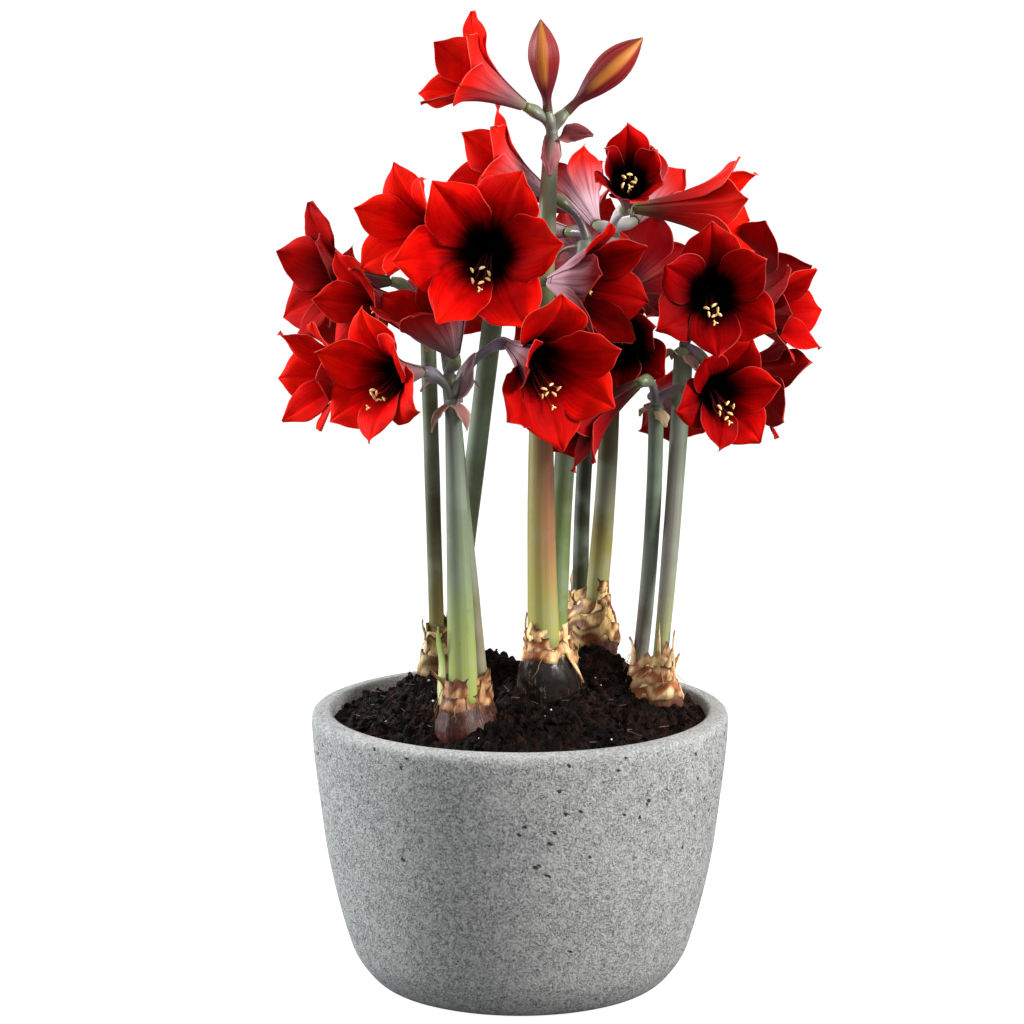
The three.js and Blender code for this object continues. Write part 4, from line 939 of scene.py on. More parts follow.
def build_bulb(index, name):
    pair, top, neck, shoulder, shift, pale, brown_and_crease_shade, torn, skin, wet, rings, slope = BULBS[name]
    feet = [Vector(SCAPES[letter][0]) for letter in pair]
    along_way = Vector((feet[1].x - feet[0].x, feet[1].y - feet[0].y, 0))
    spread = along_way.length / 2
    along_way.normalize()
    across_way = Vector((-along_way.y, along_way.x, 0))
    centre = Vector(((feet[0].x + feet[1].x) / 2 + shift, (feet[0].y + feet[1].y) / 2, 0))
    depths = through([(0.0, neck - 0.0012), (0.007, neck - 0.0005), (0.017, neck),
                      (0.03, mix(neck, shoulder, 0.35)), (0.046, mix(neck, shoulder, 0.88)),
                      (0.064, shoulder + 0.001), (0.084, shoulder - 0.003), (BULB_DEPTH, shoulder - 0.014)],
                     4)

    def radius_at(depth):
        for (d0, r0), (d1, r1) in zip(depths, depths[1:]):
            if depth <= d1:
                return mix(r0, r1, (depth - d0) / (d1 - d0)) if depth > d0 else r0
        return depths[-1][1]

    def spot(turn, depth, out):
        """A point so far outside the bulb's skin; the neck is drawn out to hold both scapes."""
        radius = radius_at(max(depth, 0.0)) + out
        wide = radius + spread * mix(1.06, 0.45, smooth(depth, 0.02, 0.064))
        flat = along_way * wide * math.cos(turn) + across_way * radius * math.sin(turn)
        return centre + flat + Vector((0, 0, top - depth))

    def dropped(turn):
        return (abs(slope) + slope * math.cos(turn)) / 2

    def fold(turn, depth, seed):
        """A crease that runs round the neck and dips a little, from -1 to 1."""
        drift = 0.8 * ring_noise(turn, 1.4, seed)
        return ring_noise(turn, 1.6, depth * 110 + drift * 2 + seed)

    def body(across, along):
        turn = math.pi * across
        depth = mix(BULB_DEPTH, NECK_END + dropped(turn), min(along / LID, 1.0))
        creases = noise.noise(Vector((math.cos(turn) * 3 + index, math.sin(turn) * 3, depth * 20))) * 0.0012
        creases += ring_noise(turn, 9, depth * 90 + index) * 0.0011
        if along <= LID:
            return spot(turn, depth, creases)
        lid = spot(turn, LID_DEPTH + dropped(turn), creases)
        draw_in = 1 - (along - LID) / (1 - LID) * 0.98
        level = mix(top - LID_DEPTH - abs(slope) / 2, lid.z, draw_in)
        return centre + (lid - centre - Vector((0, 0, lid.z))) * draw_in + Vector((0, 0, level))

    core = sheet("core", *CORE_GRID, body)
    bare = rings[-1][0] + rings[-1][1]
    places = [mix(BULB_DEPTH, NECK_END, min(along / LID, 1.0)) for _, along in spots_of(*CORE_GRID)]
    paint(core, [between(pale, skin, smooth(depth, bare - 0.01, bare)) for depth in places])
    mark(core, "torn", 0.0)
    mark(core, "wet", [wet * smooth(depth, bare - 0.01, bare) for depth in places])
    core.data.materials.append(dry_scale)
    parts = [close_tube(core)]

    for layer, (edge, reach, stand) in enumerate(rings):
        seed = index * 17.3 + layer * 5.9
        start = 2 * math.pi * chance(seed + 1)
        width = mix(5.6, 6.4, chance(seed + 2))

        def ragged_end(turn):
            """How far below the top the scales of this ring tore off."""
            rag = ring_noise(turn, 1.2, seed)
            fine = noise.fractal(Vector((math.cos(turn) * 5, math.sin(turn) * 5, seed)), 1.0, 2.2, 3)
            tooth = max(0.0, noise.noise(Vector((turn * 1.7, seed, 2.0))) - 0.1)
            return edge + dropped(turn) + (0.004 if layer else 0.0015) * rag + 0.0011 * fine - 0.013 * tooth

        def on_ring(across, along):
            turn = start + width * (across + 1) / 2
            ragged = ragged_end(turn)
            return turn, mix(ragged + reach, ragged, along)

        def place(across, along):
            turn, depth = on_ring(across, along)
            peel = max(0.0, noise.noise(Vector((turn * 1.1, seed, 5))) + 0.1)
            out = 0.0006 * (layer + 0.6) + stand * (0.2 + 5.5 * peel * peel) * smooth(along, 0.4, 1.0) ** 1.5
            tuck = 0.0018 * (1 - smooth(along, 0.0, 0.35)) + 0.0012 * smooth(abs(across), 0.85, 1.0)
            return spot(turn, depth, out + 0.0016 * fold(turn, depth, seed) - tuck)

        scale = sheet("scale", *SCALE_GRID, place)
        colours = []
        for across, along in spots_of(*SCALE_GRID):
            turn, depth = on_ring(across, along)
            # painted shade: the scale is darker where its fold dips in
            shade_in_dips = smooth(-fold(turn, depth, seed), -0.22, 0.32)
            cloud = Vector((math.cos(turn) * 2.2, math.sin(turn) * 2.2 + along * 0.6, seed + 3))
            stain = smooth(noise.noise(cloud), -0.25, 0.25)
            tone = between(pale, brown_and_crease_shade, min(0.95 * shade_in_dips + 0.6 * stain, 1.0))
            # the torn top edge is darker, and the foot, where it tucks in under the ring outside it, is
            # painted shade
            torn_edge_and_painted_shade = max(smooth(along, 0.78, 1.0) * (0.5 + 0.5 * stain), (1 - smooth(along, 0.0, 0.3)) * 0.6)
            colours.append(between(tone, torn, torn_edge_and_painted_shade))
        paint(scale, colours)
        mark(scale, "torn", [along for _, along in spots_of(*SCALE_GRID)])
        scale.data.materials.append(dry_scale)
        thicken(scale, SCALE_THICK)
        parts.append(scale)

    for k, (owner, facing, low, high, half, lean) in enumerate(PEELS):
        if owner != name:
            continue
        middle = math.radians(facing) - math.atan2(along_way.y, along_way.x)
        seed = index * 9.1 + k * 3.7

        def place(across, along):
            bite = 0.3 * noise.noise(Vector((along * 4, seed, across)))
            taper = (1 - smooth(along, 0.35, 1.0) * 0.85) * (1 + bite)
            turn = middle + across * half * taper / (radius_at(low) + 0.4 * spread)
            depth = mix(low, high, along) + 0.003 * noise.noise(Vector((across * 2, seed, along * 2))) * along
            curl = lean * along * along - 0.0012 * across * across
            curl += 0.0016 * math.sin(along * 5 + seed) * along
            return spot(turn, depth, 0.002 + curl)

        peel = sheet("peel", *PEEL_GRID, place)
        colours = []
        for across, along in spots_of(*PEEL_GRID):
            at_side, at_tip = smooth(abs(across), 0.55, 1.0), smooth(along, 0.8, 1.0)
            brown = max(at_side * 0.7, at_tip * 0.9, (1 - along) * 0.2)
            colours.append(between(pale, brown_and_crease_shade, brown))
        paint(peel, colours)
        mark(peel, "torn", 0.5)
        peel.data.materials.append(dry_scale)
        thicken(peel, SCALE_THICK)
        parts.append(peel)

    for k in range(THREADS):
        seed = index * 31.7 + k * 3.3
        turn = 2 * math.pi * chance(seed)
        start = spot(turn, 0.006 + 0.02 * chance(seed + 1), 0.002)
        hang = spot(turn + 1.1 * (chance(seed + 2) - 0.5), 0.03 + 0.014 * chance(seed + 3), 0.003)
        stand_off = (start - centre - Vector((0, 0, start.z))).normalized() * 0.006 * chance(seed + 4)

        def path(t):
            wave = Vector((math.sin(t * 9 + seed), math.cos(t * 7 + seed), 0)) * 0.0012
            return start.lerp(hang, t) + stand_off * math.sin(math.pi * t) + wave * t

        thread = tube("thread", *THREAD_GRID, path, lambda t, turn: (THREAD_RADIUS * (1.3 - t),) * 2)
        shade = between(pale, brown_and_crease_shade, 0.3 + 0.5 * chance(seed + 5))
        paint(thread, [shade] * len(thread.data.vertices))
        mark(thread, "torn", 0.0)
        thread.data.materials.append(dry_scale)
        parts.append(close_tube(thread))
    bulb = join(parts, "scaly_" + name)
    smooth_faces(bulb)
    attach(bulb, "root")
    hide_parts(name)


dry_scale, tree, shader = new_material("dry_scale", Roughness=0.62, Specular_IOR_Level=0.35)
own = attribute(tree, "shade", "Color")
torn_end = attribute(tree, "torn")
wet = attribute(tree, "wet")
where = object_place(tree)
lines = streaks(tree, 70, 1.2, 0.2)
stain = noise_at(tree, where, 95, Detail=4, Roughness=0.6)
brown = blend(tree, 1.0, own, (0.5, 0.34, 0.22, 1), "MULTIPLY")
base = blend(tree, remap(tree, lines, 0, 1, 0.0, 0.35), own, brown)
base = blend(tree, remap(tree, stain, 0.52, 0.66, 0.0, 0.8), base, brown)
base = blend(tree, remap(tree, torn_end, 0.93, 1.0, 0.0, 0.7), base, brown)
fibres = times(tree, remap(tree, lines, 0.55, 0.9, 0.0, 0.45), wet)
base = blend(tree, times(tree, fibres, remap(tree, stain, 0.42, 0.56)), base, srgb(150, 124, 104))
crumbs = noise_at(tree, where, 170, Detail=5, Roughness=0.7)
base = blend(tree, times(tree, remap(tree, crumbs, 0.42, 0.52, 0.0, 1.4), wet), base, srgb(22, 15, 12))
tree.links.new(base, shader.inputs["Base Color"])
rough = arithmetic(tree, "SUBTRACT", remap(tree, stain, 0.4, 0.6, 0.5, 0.75), times(tree, wet, 0.35))
tree.links.new(rough, shader.inputs["Roughness"])
bump(tree, shader, arithmetic(tree, "ADD", lines, stain), 0.5, 0.0006)

for bulb_index, bulb_name in enumerate(BULBS, 1):
    build_bulb(bulb_index, bulb_name)


# ---------- the young leaf ----------
# One pale new leaf, thin and waxy, that grows out of the front left bulb beside its scape. It is folded
# along its middle and ends in a point.
LEAF_FOOT = Vector((-0.0653, -0.0902, 0.263))
LEAF_TIP = Vector((-0.066, -0.095, 0.332))
LEAF_SIDEWAYS = Vector((0.65, -0.75, 0))
LEAF_OUTWARDS = Vector((-0.75, -0.65, 0.1)).normalized()
LEAF_HALF = 0.0046
LEAF_THICK = 0.0016


def leaf_place(across, along):
    half = LEAF_HALF if along < 0.4 else LEAF_HALF - 0.004 * (along - 0.4)
    wide = across * half * (1 - smooth(along, 0.75, 1.0) * 0.93)
    bend = 0.003 * along * along + 0.0012 * math.sin(along * 9) - 38 * wide * wide
    return LEAF_FOOT.lerp(LEAF_TIP, along) + LEAF_SIDEWAYS * wide + LEAF_OUTWARDS * bend


def grid_place(tree):
    """Across and along of a sheet or tube, each from 0 to 1."""
    place = put_node(tree, "ShaderNodeTexCoord").outputs["UV"]
    split = put_node(tree, "ShaderNodeSeparateXYZ", {"Vector": place})
    return split.outputs["X"], split.outputs["Y"]


leaf = sheet("pale_leaf", 10, 24, leaf_place)
thicken(leaf, LEAF_THICK)
smooth_faces(leaf)
leaf_skin, tree, shader = new_material("leaf_skin", Roughness=0.45)
lines = streaks(tree, 16, 1.0, 0.2)
_, along = grid_place(tree)
base = blend(tree, remap(tree, along, 0.1, 0.9), srgb(214, 214, 160), srgb(150, 172, 84))
base = blend(tree, remap(tree, lines, 0, 1, 0.0, 0.5), base, srgb(120, 144, 60))
tree.links.new(base, shader.inputs["Base Color"])
bump(tree, shader, lines, 0.4, 0.0005)
leaf.data.materials.append(leaf_skin)
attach(leaf, "root")
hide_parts("young_leaf")


# ---------- the blooms ----------
# Thirty funnel-shaped blooms. Three outer and three inner petals grow from one short tube, part from each
# other, and end in a pinched point. They are velvety, black-red in the throat and pale along the margin.
OUTER_HALF = 0.3             # half width of an outer and of an inner petal, as a share of its length
INNER_HALF = 0.265
OUTER_LEAN = 1.04            # an inner petal stands a little steeper than an outer one
INNER_LEAN = 0.9
MOST_TURN = 0.7              # how far round the tube half a petal reaches at most, in radians
SPLIT = 0.38                 # share of the length from which the two layers part
# how far inwards each layer of petals lies, how much further once they part, and how far its tips turn in
OUTER_LAYER = (-0.00045, -0.00105, -0.003)
INNER_LAYER = (0.00045, 0.00125, 0.0012)
PETAL_THICK = 0.00055
THROAT = 0.12                # share of the length at which the tube is closed inside
WAVE = 6.28                  # one whole ripple of a margin
MILLIMETRES = 1000
INNER_DARKER = 0.1
PAINTED_LIGHT_SIDE = (0.28, 0.3)     # painted light: how much brighter petals facing their window are, and from where
LUCKY_SHADE = 0.2
FORMS = {
    # lean from the axis in degrees, at the foot and at each quarter of the petal
    "wide": (12, 22, 42, 62, 82),
    "open": (12, 18, 32, 50, 66),
    "cup": (12, 18, 26, 32, 40),
    "half": (10, 14, 19, 28, 44),
    "flare": (12, 16, 24, 36, 52),
    "bell": (34, 36, 28, 30, 48),
}
# painted light: blooms left of this are painted brightest on their left petals, the others on their right
# ones, as if lit by the window on their side
PAINTED_LIGHT_SPLIT = -0.015
FINE_BLOOMS = ("B1", "C1", "C2", "J1", "I3", "B4", "A1", "H1", "H2")
FINE_GRID, PLAIN_GRID = (24, 36), (16, 26)


def bloom_frame(look):
    """Ahead, right and up of a bloom that looks this way."""
    ahead = Vector(look).normalized()
    up = Vector((0, 1, 0)) if abs(ahead.z) > 0.97 else Vector((0, 0, 1))
    right = up.cross(ahead).normalized()
    return ahead, right, ahead.cross(right)


def midrib(form, length, lean):
    """Radius, height and lean of a petal's midrib at a share of its length."""
    angles, steps = FORMS[form], 40
    stride = length / steps
    line = [(TUBE_RADIUS, 0.0, math.radians(angles[0]))]
    for i in range(steps):
        share = (i + 0.5) / steps
        quarter = min(3, int(share * 4))
        angle = mix(angles[quarter], angles[quarter + 1], share * 4 - quarter)
        angle = math.radians(angle * (1 + (lean - 1) * smooth(share, 0.15, 0.6)))
        radius, height, _ = line[-1]
        line.append((radius + stride * math.sin(angle), height + stride * math.cos(angle), angle))

    def at(share):
        step = min(max(share, 0.0), 1.0) * steps
        k = min(steps - 1, int(step))
        return between(line[k], line[k + 1], step - k)
    return at


def petal_outline(share):
    """Half width of a petal along its length, 1 where it is widest, pinched in before its point."""
    if share < 0.62:
        return 0.18 + 0.82 * smooth(share, 0.02, 0.62) ** 0.8
    point = 1 - ((share - 0.62) / 0.38) ** 2.1
    return max(point * (1 - 0.2 * math.exp(-((share - 0.95) / 0.045) ** 2)), 0.012)


def build_bloom(index, name):
    _, form, length, roll, base, look, tone_and_painted_light, pale, frill, squeeze, throat = BLOOMS[name]
    ahead, right, up = bloom_frame(look)
    origin = Vector(base)
    columns, rows = FINE_GRID if name in FINE_BLOOMS else PLAIN_GRID
    petals = []
    for k in range(6):
        outer = k % 2 == 0

        def luck(j):
            return chance(index * 13.7 + k * 5.3 + j * 2.9)

        turn = math.radians(90 + 60 * k + roll) + (luck(1) - 0.5) * 0.12
        lean = ((OUTER_LEAN if outer else INNER_LEAN) + 0.07 * luck(3)) * (1 - squeeze * math.cos(turn) ** 2)
        line = midrib(form, length * (0.98 + 0.05 * luck(2)), lean)
        half = length * (OUTER_HALF if outer else INNER_HALF) * (0.95 + 0.1 * luck(4))
        wave = (luck(5) - 0.5) * 0.007
        back = 3.5 + 4 * luck(6)
        layer, part, tip = OUTER_LAYER if outer else INNER_LAYER
        ripple_start, ripples = WAVE * luck(7), 2.2 + 1.6 * luck(8)
        swell_seed = index * 7.3 + k * 2.1
        widths = {}

        def place(across, along):
            share = 1 - (1 - along) ** 1.2
            radius, height, slant = line(share)
            rho = radius / max(math.cos(slant), 0.2)
            edge_turn = half * petal_outline(share) / rho
            edge_turn = MOST_TURN * math.tanh((edge_turn / MOST_TURN) ** 3) ** (1 / 3)
            bend = across * edge_turn
            wide = bend * rho
            widths[round(along * rows)] = edge_turn * rho
            late, free, near_tip = smooth(share, 0.5, 0.9), smooth(share, 0.45, 0.62), smooth(share, 0.9, 1.0)
            edge, side = abs(across), 1 if across > 0 else -1
            # the curve across, the layer, the wave and roll of the blade, the groove of the midrib, its crown
            lift = rho * (1 - math.cos(bend)) * mix(1, 0.45, late) + layer + part * smooth(share, SPLIT, 0.6)
            lift += late * (wave * across * edge - back * wide * wide)
            lift -= 0.0009 * math.exp(-(across / 0.09) ** 2) * smooth(share, 0.2, 0.45) * (1 - near_tip)
            lift += 0.0011 * math.sin(math.pi * edge) * free
            # the ruffled margin, the turn of the tip, and the swells of the blade
            phase = WAVE * ripples * share
            ripple = math.sin(phase + ripple_start + side) + 0.5 * math.sin(phase * 2.3 + side * 2)
            lift += frill * 0.0008 * edge ** 4 * ripple * free * (1 - near_tip)
            lift += tip * smooth(share, 0.84, 1.0) ** 2
            swell = noise.noise(Vector((across * 1.1, share * 2.6, swell_seed)))
            lift += (0.0016 + 0.0012 * frill) * swell * smooth(share, 0.4, 0.8) * (1 - 0.7 * near_tip)
            ruffle = 0.02 * frill * free * edge ** 3 * math.sin(phase * 1.7 + side * 3)
            sideways = rho * math.sin(bend) * (1 + ruffle)
            radial = radius - lift * math.cos(slant)
            x = radial * math.cos(turn) - sideways * math.sin(turn)
            y = radial * math.sin(turn) + sideways * math.cos(turn)
            return origin + right * x + up * y + ahead * (height + lift * math.sin(slant))

        petal = sheet("petal", columns, rows, place)
        from_margin = [(1 - abs(across)) * widths[round(along * rows)] * MILLIMETRES
                       for across, along in spots_of(columns, rows)]
        mark(petal, "margin", from_margin)
        # painted light: each petal is painted brighter the more it faces the window on its bloom's side
        toward_painted_light = (right * math.cos(turn) + up * math.sin(turn)).x * (-1 if base[0] < PAINTED_LIGHT_SPLIT else 1)
        shade = tone_and_painted_light - (0.0 if outer else INNER_DARKER) + LUCKY_SHADE * (luck(9) - 0.5)
        mark(petal, "tone_and_painted_light", shade + PAINTED_LIGHT_SIDE[0] * (toward_painted_light - PAINTED_LIGHT_SIDE[1]))
        petals.append(petal)

    radius, height, _ = midrib(form, length, 1)(THROAT)

    def close_throat(across, along):
        turn, far = math.pi * across, radius * (0.04 + 0.84 * along)
        flat = right * far * math.cos(turn) + up * far * math.sin(turn)
        return origin + flat + ahead * (height - 0.002 * along)

    plug = sheet("plug", 18, 3, close_throat)
    for spot in plug.data.uv_layers[0].data:
        spot.uv.y *= 0.05        # so that it takes the colours of the petals' foot
    petals.append(plug)
    bloom = join(petals, "petals_" + name)
    mark(bloom, "pale", pale)
    mark(bloom, "throat", throat)
    for material in (petal_outside, petal_inside, petal_margin):
        bloom.data.materials.append(material)
    thicken(bloom, PETAL_THICK, material_offset=1, material_offset_rim=2)
    smooth_faces(bloom)
    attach(bloom, "root")
    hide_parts("bloom_" + name)


def from_midrib(tree, across):
    """Distance from the midrib, 0 there and 1 at either margin."""
    return arithmetic(tree, "ABSOLUTE", arithmetic(tree, "SUBTRACT", times(tree, across, 2.0), 1.0))


def finish_edges(tree, base, along, free_from, line, point):
    """The pale line along the margin, from where the petal is free, and the dry point."""
    thin = remap(tree, attribute(tree, "margin"), 0.1, 0.6, 0.45, 0.0)
    base = blend(tree, times(tree, thin, remap(tree, along, free_from, free_from + 0.2)), base, line)
    return blend(tree, remap(tree, along, 0.98, 1.0, 0.0, 0.6), base, point)


def ramp(tree, value, stops):
    """Colours that follow a value, each at its own spot."""
    node = put_node(tree, "ShaderNodeValToRGB", {"Fac": value})
    elements = node.color_ramp.elements
    while len(elements) < len(stops):
        elements.new(0.5)
    for element, (spot, colour) in zip(elements, stops):
        element.position = spot
        element.color = colour
    return node.outputs["Color"]


petal_inside, tree, shader = new_material("petal_inside", Roughness=0.6, Specular_IOR_Level=0.02)
across, along = grid_place(tree)
off_middle = from_midrib(tree, across)
veins = streaks(tree, 34, 2.2, 0.22)
broad = streaks(tree, 9, 1.4, 0.25)
reach = arithmetic(tree, "ADD", times(tree, broad, 0.08), times(tree, veins, 0.05))
reach = arithmetic(tree, "SUBTRACT", reach, times(tree, off_middle, 0.08))
darker_by = arithmetic(tree, "SUBTRACT", attribute(tree, "throat"), 0.5)
outward = arithmetic(tree, "SUBTRACT", arithmetic(tree, "SUBTRACT", along, reach), darker_by)
bright_and_painted_lit_colours = ramp(tree, outward,
                   [(0.36, (0.001, 0.0001, 0.0002, 1)), (0.44, (0.012, 0.0001, 0.0004, 1)),
                    (0.5, (0.09, 0.0002, 0.001, 1)), (0.57, (0.34, 0.0005, 0.0012, 1)),
                    (0.68, (0.7, 0.001, 0.001, 1)), (0.82, (0.9, 0.003, 0.001, 1)),
                    (1.0, (0.96, 0.011, 0.002, 1))])
dark_and_painted_shade_colours = ramp(tree, outward,
                 [(0.34, (0.001, 0.0001, 0.0002, 1)), (0.46, (0.006, 0.0001, 0.0004, 1)),
                  (0.54, (0.04, 0.0002, 0.0008, 1)), (0.64, (0.13, 0.0003, 0.001, 1)),
                  (0.8, (0.26, 0.0005, 0.001, 1)), (1.0, (0.36, 0.001, 0.001, 1))])
# the bloom's brightness, its own tone with painted shade and painted light, picks the dark or bright colours
base = blend(tree, attribute(tree, "tone_and_painted_light"), dark_and_painted_shade_colours, bright_and_painted_lit_colours)
cloud = noise_at(tree, object_place(tree), 42, Detail=2)
deep = blend(tree, 1.0, base, (0.5, 0.3, 0.5, 1), "MULTIPLY")
base = blend(tree, remap(tree, cloud, 0.42, 0.66, 0.0, 0.75), base, deep)
base = blend(tree, remap(tree, veins, 0.0, 1.0, 0.0, 0.4), base, deep)
base = finish_edges(tree, base, along, 0.45, srgb(236, 104, 88), srgb(80, 12, 14))
tree.links.new(base, shader.inputs["Base Color"])
bump(tree, shader, arithmetic(tree, "ADD", veins, broad), 0.3, 0.0005)

petal_outside, tree, shader = new_material("petal_outside", Roughness=0.5, Specular_IOR_Level=0.05)
across, along = grid_place(tree)
off_middle = from_midrib(tree, across)
veins = streaks(tree, 30, 1.6, 0.2)
broad = streaks(tree, 9, 1.0, 0.22)
outward = arithmetic(tree, "ADD", along, times(tree, arithmetic(tree, "SUBTRACT", broad, 0.5), 0.1))
bright_and_painted_lit_colours = ramp(tree, outward,
                   [(0.0, srgb(96, 104, 62)), (0.07, srgb(110, 84, 64)), (0.16, srgb(116, 44, 40)),
                    (0.3, srgb(158, 24, 24)), (0.5, srgb(204, 22, 18)), (0.75, srgb(226, 26, 14)),
                    (1.0, srgb(238, 36, 16))])
dark_and_painted_shade_colours = ramp(tree, outward,
                 [(0.0, srgb(70, 70, 44)), (0.07, srgb(66, 34, 34)), (0.18, srgb(60, 8, 16)),
                  (0.36, srgb(92, 3, 12)), (0.6, srgb(124, 2, 8)), (1.0, srgb(146, 4, 8))])
# the bloom's brightness, its own tone with painted shade and painted light, picks the dark or bright colours
base = blend(tree, attribute(tree, "tone_and_painted_light"), dark_and_painted_shade_colours, bright_and_painted_lit_colours)
stripes = remap(tree, arithmetic(tree, "ADD", veins, broad), -0.4, 1.8)
pale_part = times(tree, remap(tree, along, 0.2, 0.8, 1.0, 0.0), attribute(tree, "pale"))
pale_part = times(tree, pale_part, arithmetic(tree, "ADD", stripes, remap(tree, along, 0.25, 0.45, 0.4, 0.0)))
# the pale, striped outside of the petals; its whitish pink is also lighter than their own, as painted
# highlight
base = blend(tree, pale_part, base, srgb(255, 220, 234))
deep = blend(tree, 1.0, base, (0.6, 0.42, 0.5, 1), "MULTIPLY")
base = blend(tree, remap(tree, veins, 0.0, 1.0, 0.0, 0.24), base, deep)
middle = remap(tree, off_middle, 0.02, 0.12, 0.35, 0.0)
base = blend(tree, times(tree, middle, remap(tree, along, 0.7, 0.2)), base, srgb(120, 84, 60))
base = finish_edges(tree, base, along, 0.4, srgb(230, 112, 100), srgb(70, 22, 18))
tree.links.new(base, shader.inputs["Base Color"])
bump(tree, shader, arithmetic(tree, "ADD", veins, broad), 0.35, 0.0006)

petal_margin, tree, shader = new_material("petal_margin", Roughness=0.5, Specular_IOR_Level=0.1)
_, along = grid_place(tree)
# the rim follows the bloom's brightness too, with its painted shade and painted light
base = blend(tree, attribute(tree, "tone_and_painted_light"), srgb(170, 60, 62), srgb(236, 100, 84))
base = blend(tree, remap(tree, along, 0.97, 1.0, 0.0, 0.7), base, srgb(70, 20, 18))
base = blend(tree, remap(tree, along, 0.55, 0.35), base, srgb(60, 6, 14))
tree.links.new(base, shader.inputs["Base Color"])


for bloom_index, bloom_name in enumerate(BLOOMS, 1):
    build_bloom(bloom_index, bloom_name)


# ---------- the buds ----------
# Two buds at the top that haven't opened: three outer petals folded over the rest, with an amber band
# down the middle of each and a seam between them.
BUD_GRID = (60, 44)
BUD_SUNK = 0.0022            # how deep the foot of a bud sits in the end of its pedicel
BUD_TWIST = 0.25
SEAM_DEPTH = 0.0009
BUD_SHAPE = [(0.0, 0.0), (0.14, 0.1), (0.3, 0.6), (0.46, 0.88), (0.6, 1.0), (0.74, 0.88), (0.87, 0.55),
             (0.96, 0.2), (1.0, 0.04)]


def build_bud(name):
    _, length, radius, base, look, roll = BUDS[name]
    ahead, right, up = bloom_frame(look)
    start = Vector(base) - ahead * BUD_SUNK
    outline = through(BUD_SHAPE, 4)

    def width_at(t):
        for (t0, w0), (t1, w1) in zip(outline, outline[1:]):
            if t <= t1:
                return mix(w0, w1, (t - t0) / (t1 - t0))
        return outline[-1][1]

    def place(across, along):
        turn = math.pi * across
        wide = radius * width_at(along) + TUBE_RADIUS * (1 - smooth(along, 0.0, 0.32))
        grow = smooth(along, 0.15, 0.5)
        seam = math.exp(-(math.sin(1.5 * turn + math.pi / 2) / 0.12) ** 2) if math.cos(3 * turn) < 0 else 0.0
        wide *= 1 + 0.09 * grow * math.cos(3 * turn)
        wide -= SEAM_DEPTH * grow * seam * (1 - smooth(along, 0.93, 1.0))
        twist = turn + BUD_TWIST * along + math.radians(roll)
        return start + right * wide * math.cos(twist) + up * wide * math.sin(twist) + ahead * (along * length)

    bud = close_tube(sheet("bud_" + name, *BUD_GRID, place))
    bud.data.materials.append(bud_skin)
    smooth_faces(bud)
    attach(bud, "root")
    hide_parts("bloom_" + name)


bud_skin, tree, shader = new_material("bud_skin", Roughness=0.42, Specular_IOR_Level=0.15)
across, along = grid_place(tree)
third = arithmetic(tree, "PINGPONG", times(tree, arithmetic(tree, "SUBTRACT", across, 0.5), 3.0), 0.5)
veins = streaks(tree, 60, 1.6, 0.2)
base = ramp(tree, along,
            [(0.0, srgb(80, 84, 50)), (0.08, srgb(84, 40, 44)), (0.3, srgb(96, 26, 36)),
             (0.5, srgb(124, 26, 30)), (0.8, srgb(140, 30, 28)), (1.0, srgb(110, 66, 40))])
band = remap(tree, third, 0.06, 0.24, 1.0, 0.0)
band = times(tree, band, remap(tree, along, 0.22, 0.4))
band = times(tree, band, remap(tree, veins, 0.0, 1.0, 0.6, 1.0))
base = blend(tree, band, base, srgb(200, 132, 58))
base = blend(tree, remap(tree, third, 0.44, 0.5), base, srgb(96, 20, 26))
deep = blend(tree, 1.0, base, (0.6, 0.45, 0.45, 1), "MULTIPLY")
base = blend(tree, remap(tree, veins, 0.0, 1.0, 0.0, 0.5), base, deep)
tree.links.new(base, shader.inputs["Base Color"])
bump(tree, shader, veins, 0.4, 0.0005)

for bud_name in BUDS:
    build_bud(bud_name)


# ---------- the stamens ----------
# Six red filaments rise from the throat and hang down a little, each with a pale yellow anther that rocks
# on its tip, and a longer style ends in three small lobes. The youngest blooms still hold theirs inside.
FILAMENT = 0.0009
ANTHER = (0.001, 0.0013, 0.0029)
ANTHER_SPREAD = (0.0085, 0.0075)      # how far the anthers part sideways, and up and down
LOBE = (0.0008, 0.0008, 0.0016)       # of the style's end
FILAMENT_GRID = (6, 14)
HELD_BACK = 0.3                       # share of their spread at which the youngest blooms hold their anthers
OPEN_RADIUS = 0.05                    # of a bloom that gives its anthers their full spread
# the blooms that look ahead and have their stamens among the solids, and how far these hang under the middle
IN_FRAME = {"B1": 0.0195, "C1": 0.018, "C2": 0.018, "H1": 0.009, "J1": 0.019, "I3": 0.017}
DROOP = 0.017                         # in all other blooms


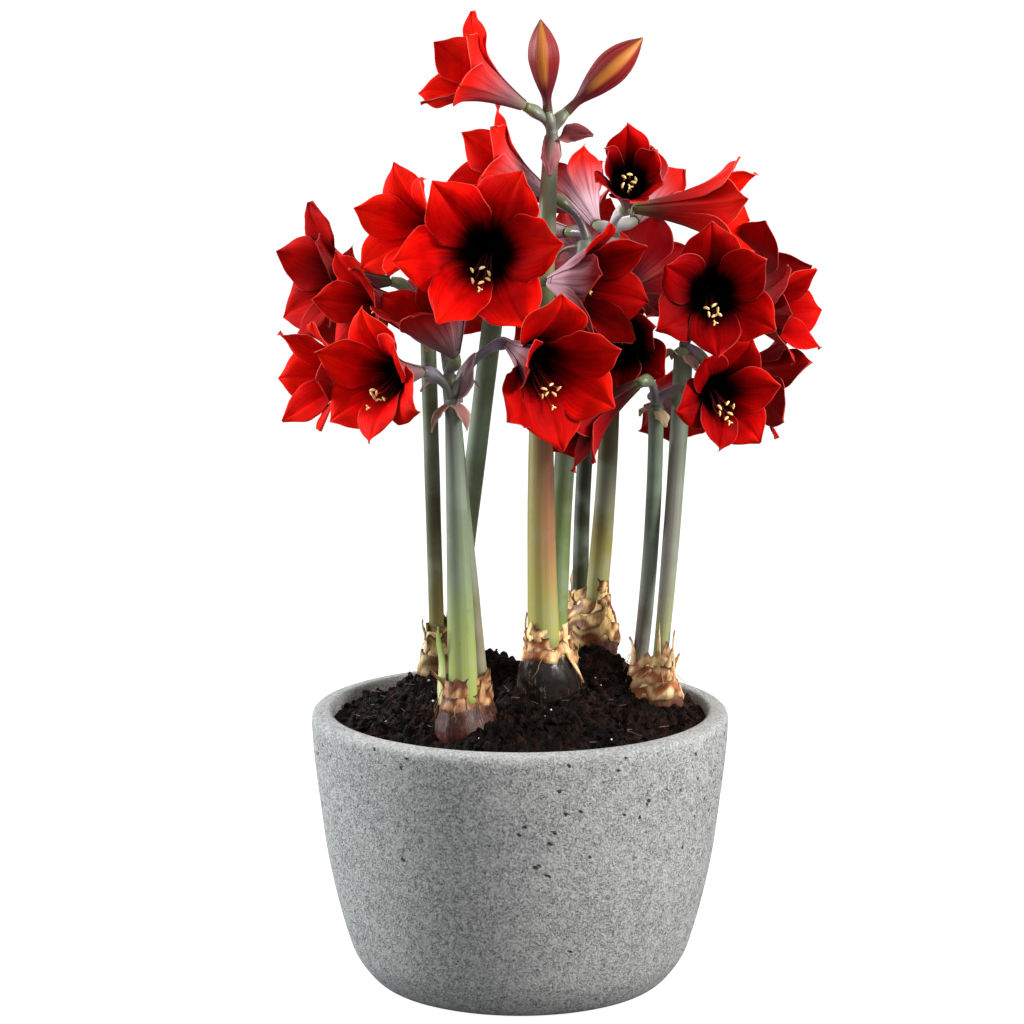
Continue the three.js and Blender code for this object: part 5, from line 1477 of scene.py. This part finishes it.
def build_stamens(name, index):
    _, form, length, _, base, look, *_ = BLOOMS[name]
    ahead, right, up = bloom_frame(look)
    origin = Vector(base)
    mean = midrib(form, length, 1)
    shown = name in IN_FRAME or look[1] > 0
    start = mean(0.27)[1]
    reach = mean(1)[1] * (0.86 if shown else 0.5)
    room = max(mean(0.8)[0] / OPEN_RADIUS, 0.8 if name in IN_FRAME else 0.0)
    droop = IN_FRAME.get(name, DROOP)

    def spot(x, y, z):
        return origin + right * x + up * y + ahead * z

    parts, anthers = [], []
    for k in range(7):
        def luck(j):
            return chance(index * 31.7 + k * 9.1 + j * 4.3)

        turn = 2 * math.pi * k / 6 + 0.5
        far = reach - 0.01 * luck(1)
        apart = 0.45 + 0.7 * luck(3)
        x = apart * ANTHER_SPREAD[0] * math.cos(turn) * room
        y = (apart * ANTHER_SPREAD[1] * math.sin(turn) - droop) * room
        if not shown:
            x, y = HELD_BACK * x, HELD_BACK * y
        if k == 6:               # the style
            far, x, y = reach + 0.004, 0.0, -(droop + 0.011) * room * (1 if shown else 0.25)
        last = spot(x, y, far)
        path = curve(spot(0.0026 * math.cos(turn), 0.0026 * math.sin(turn), start),
                     spot(0.0032 * math.cos(turn), 0.0032 * math.sin(turn), start + 0.012),
                     spot(x, y - 0.002, far - 0.014), last)
        filament = tube("filament", *FILAMENT_GRID, path, lambda t, turn: (FILAMENT * (1.15 - 0.4 * t),) * 2)
        filament.data.materials.append(red_filament)
        parts.append(close_tube(filament))
        if k < 6:
            tilt = turn * 2 + luck(2)
            axis = (right * math.cos(tilt) + up * math.sin(tilt) + ahead * 0.4).normalized()
            anthers.append((spot(x, y + 0.0005, far + 0.0005), axis.to_track_quat("Z", "Y"), ANTHER))
        else:
            for lobe in range(3):
                way = right * math.cos(lobe * 2.09) + up * math.sin(lobe * 2.09)
                anthers.append((last + way * 0.0012, (way + ahead * 0.5).to_track_quat("Z", "Y"), LOBE))
    heads = scattered("anthers", anther_form, anthers)
    heads.data.materials.append(yellow_anther)
    stamens = join(parts + [heads], "stamens_of_" + name)
    smooth_faces(stamens)
    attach(stamens, "root")
    if name in IN_FRAME:
        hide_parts("stamens_" + name)


red_filament, tree, shader = new_material("red_filament", Roughness=0.4)
_, along = grid_place(tree)
base = ramp(tree, along,
            [(0.0, srgb(14, 2, 6)), (0.5, srgb(50, 4, 10)), (0.85, srgb(130, 18, 20)),
             (1.0, srgb(190, 80, 60))])
tree.links.new(base, shader.inputs["Base Color"])
yellow_anther, tree, shader = new_material("yellow_anther", Roughness=0.8, Specular_IOR_Level=0.2)
where = object_place(tree)
pollen = noise_at(tree, where, 1400, Detail=2)
base = blend(tree, remap(tree, pollen, 0.35, 0.65), srgb(244, 206, 110), srgb(255, 240, 176))
tree.links.new(base, shader.inputs["Base Color"])
bump(tree, shader, pollen, 0.6, 0.0004)

deselect()
bpy.ops.mesh.primitive_uv_sphere_add(segments=10, ring_count=8, radius=1)
anther_form = bpy.context.object
for v in anther_form.data.vertices:
    groove = 0.35 * math.exp(-(v.co.x / 0.3) ** 2) if v.co.y > 0 else 0.0
    v.co.y -= groove + 0.3 * v.co.z ** 2
for stamen_index, bloom_name in enumerate(list(IN_FRAME) + [n for n in BLOOMS if n not in IN_FRAME], 1):
    build_stamens(bloom_name, stamen_index)
bpy.data.objects.remove(anther_form)
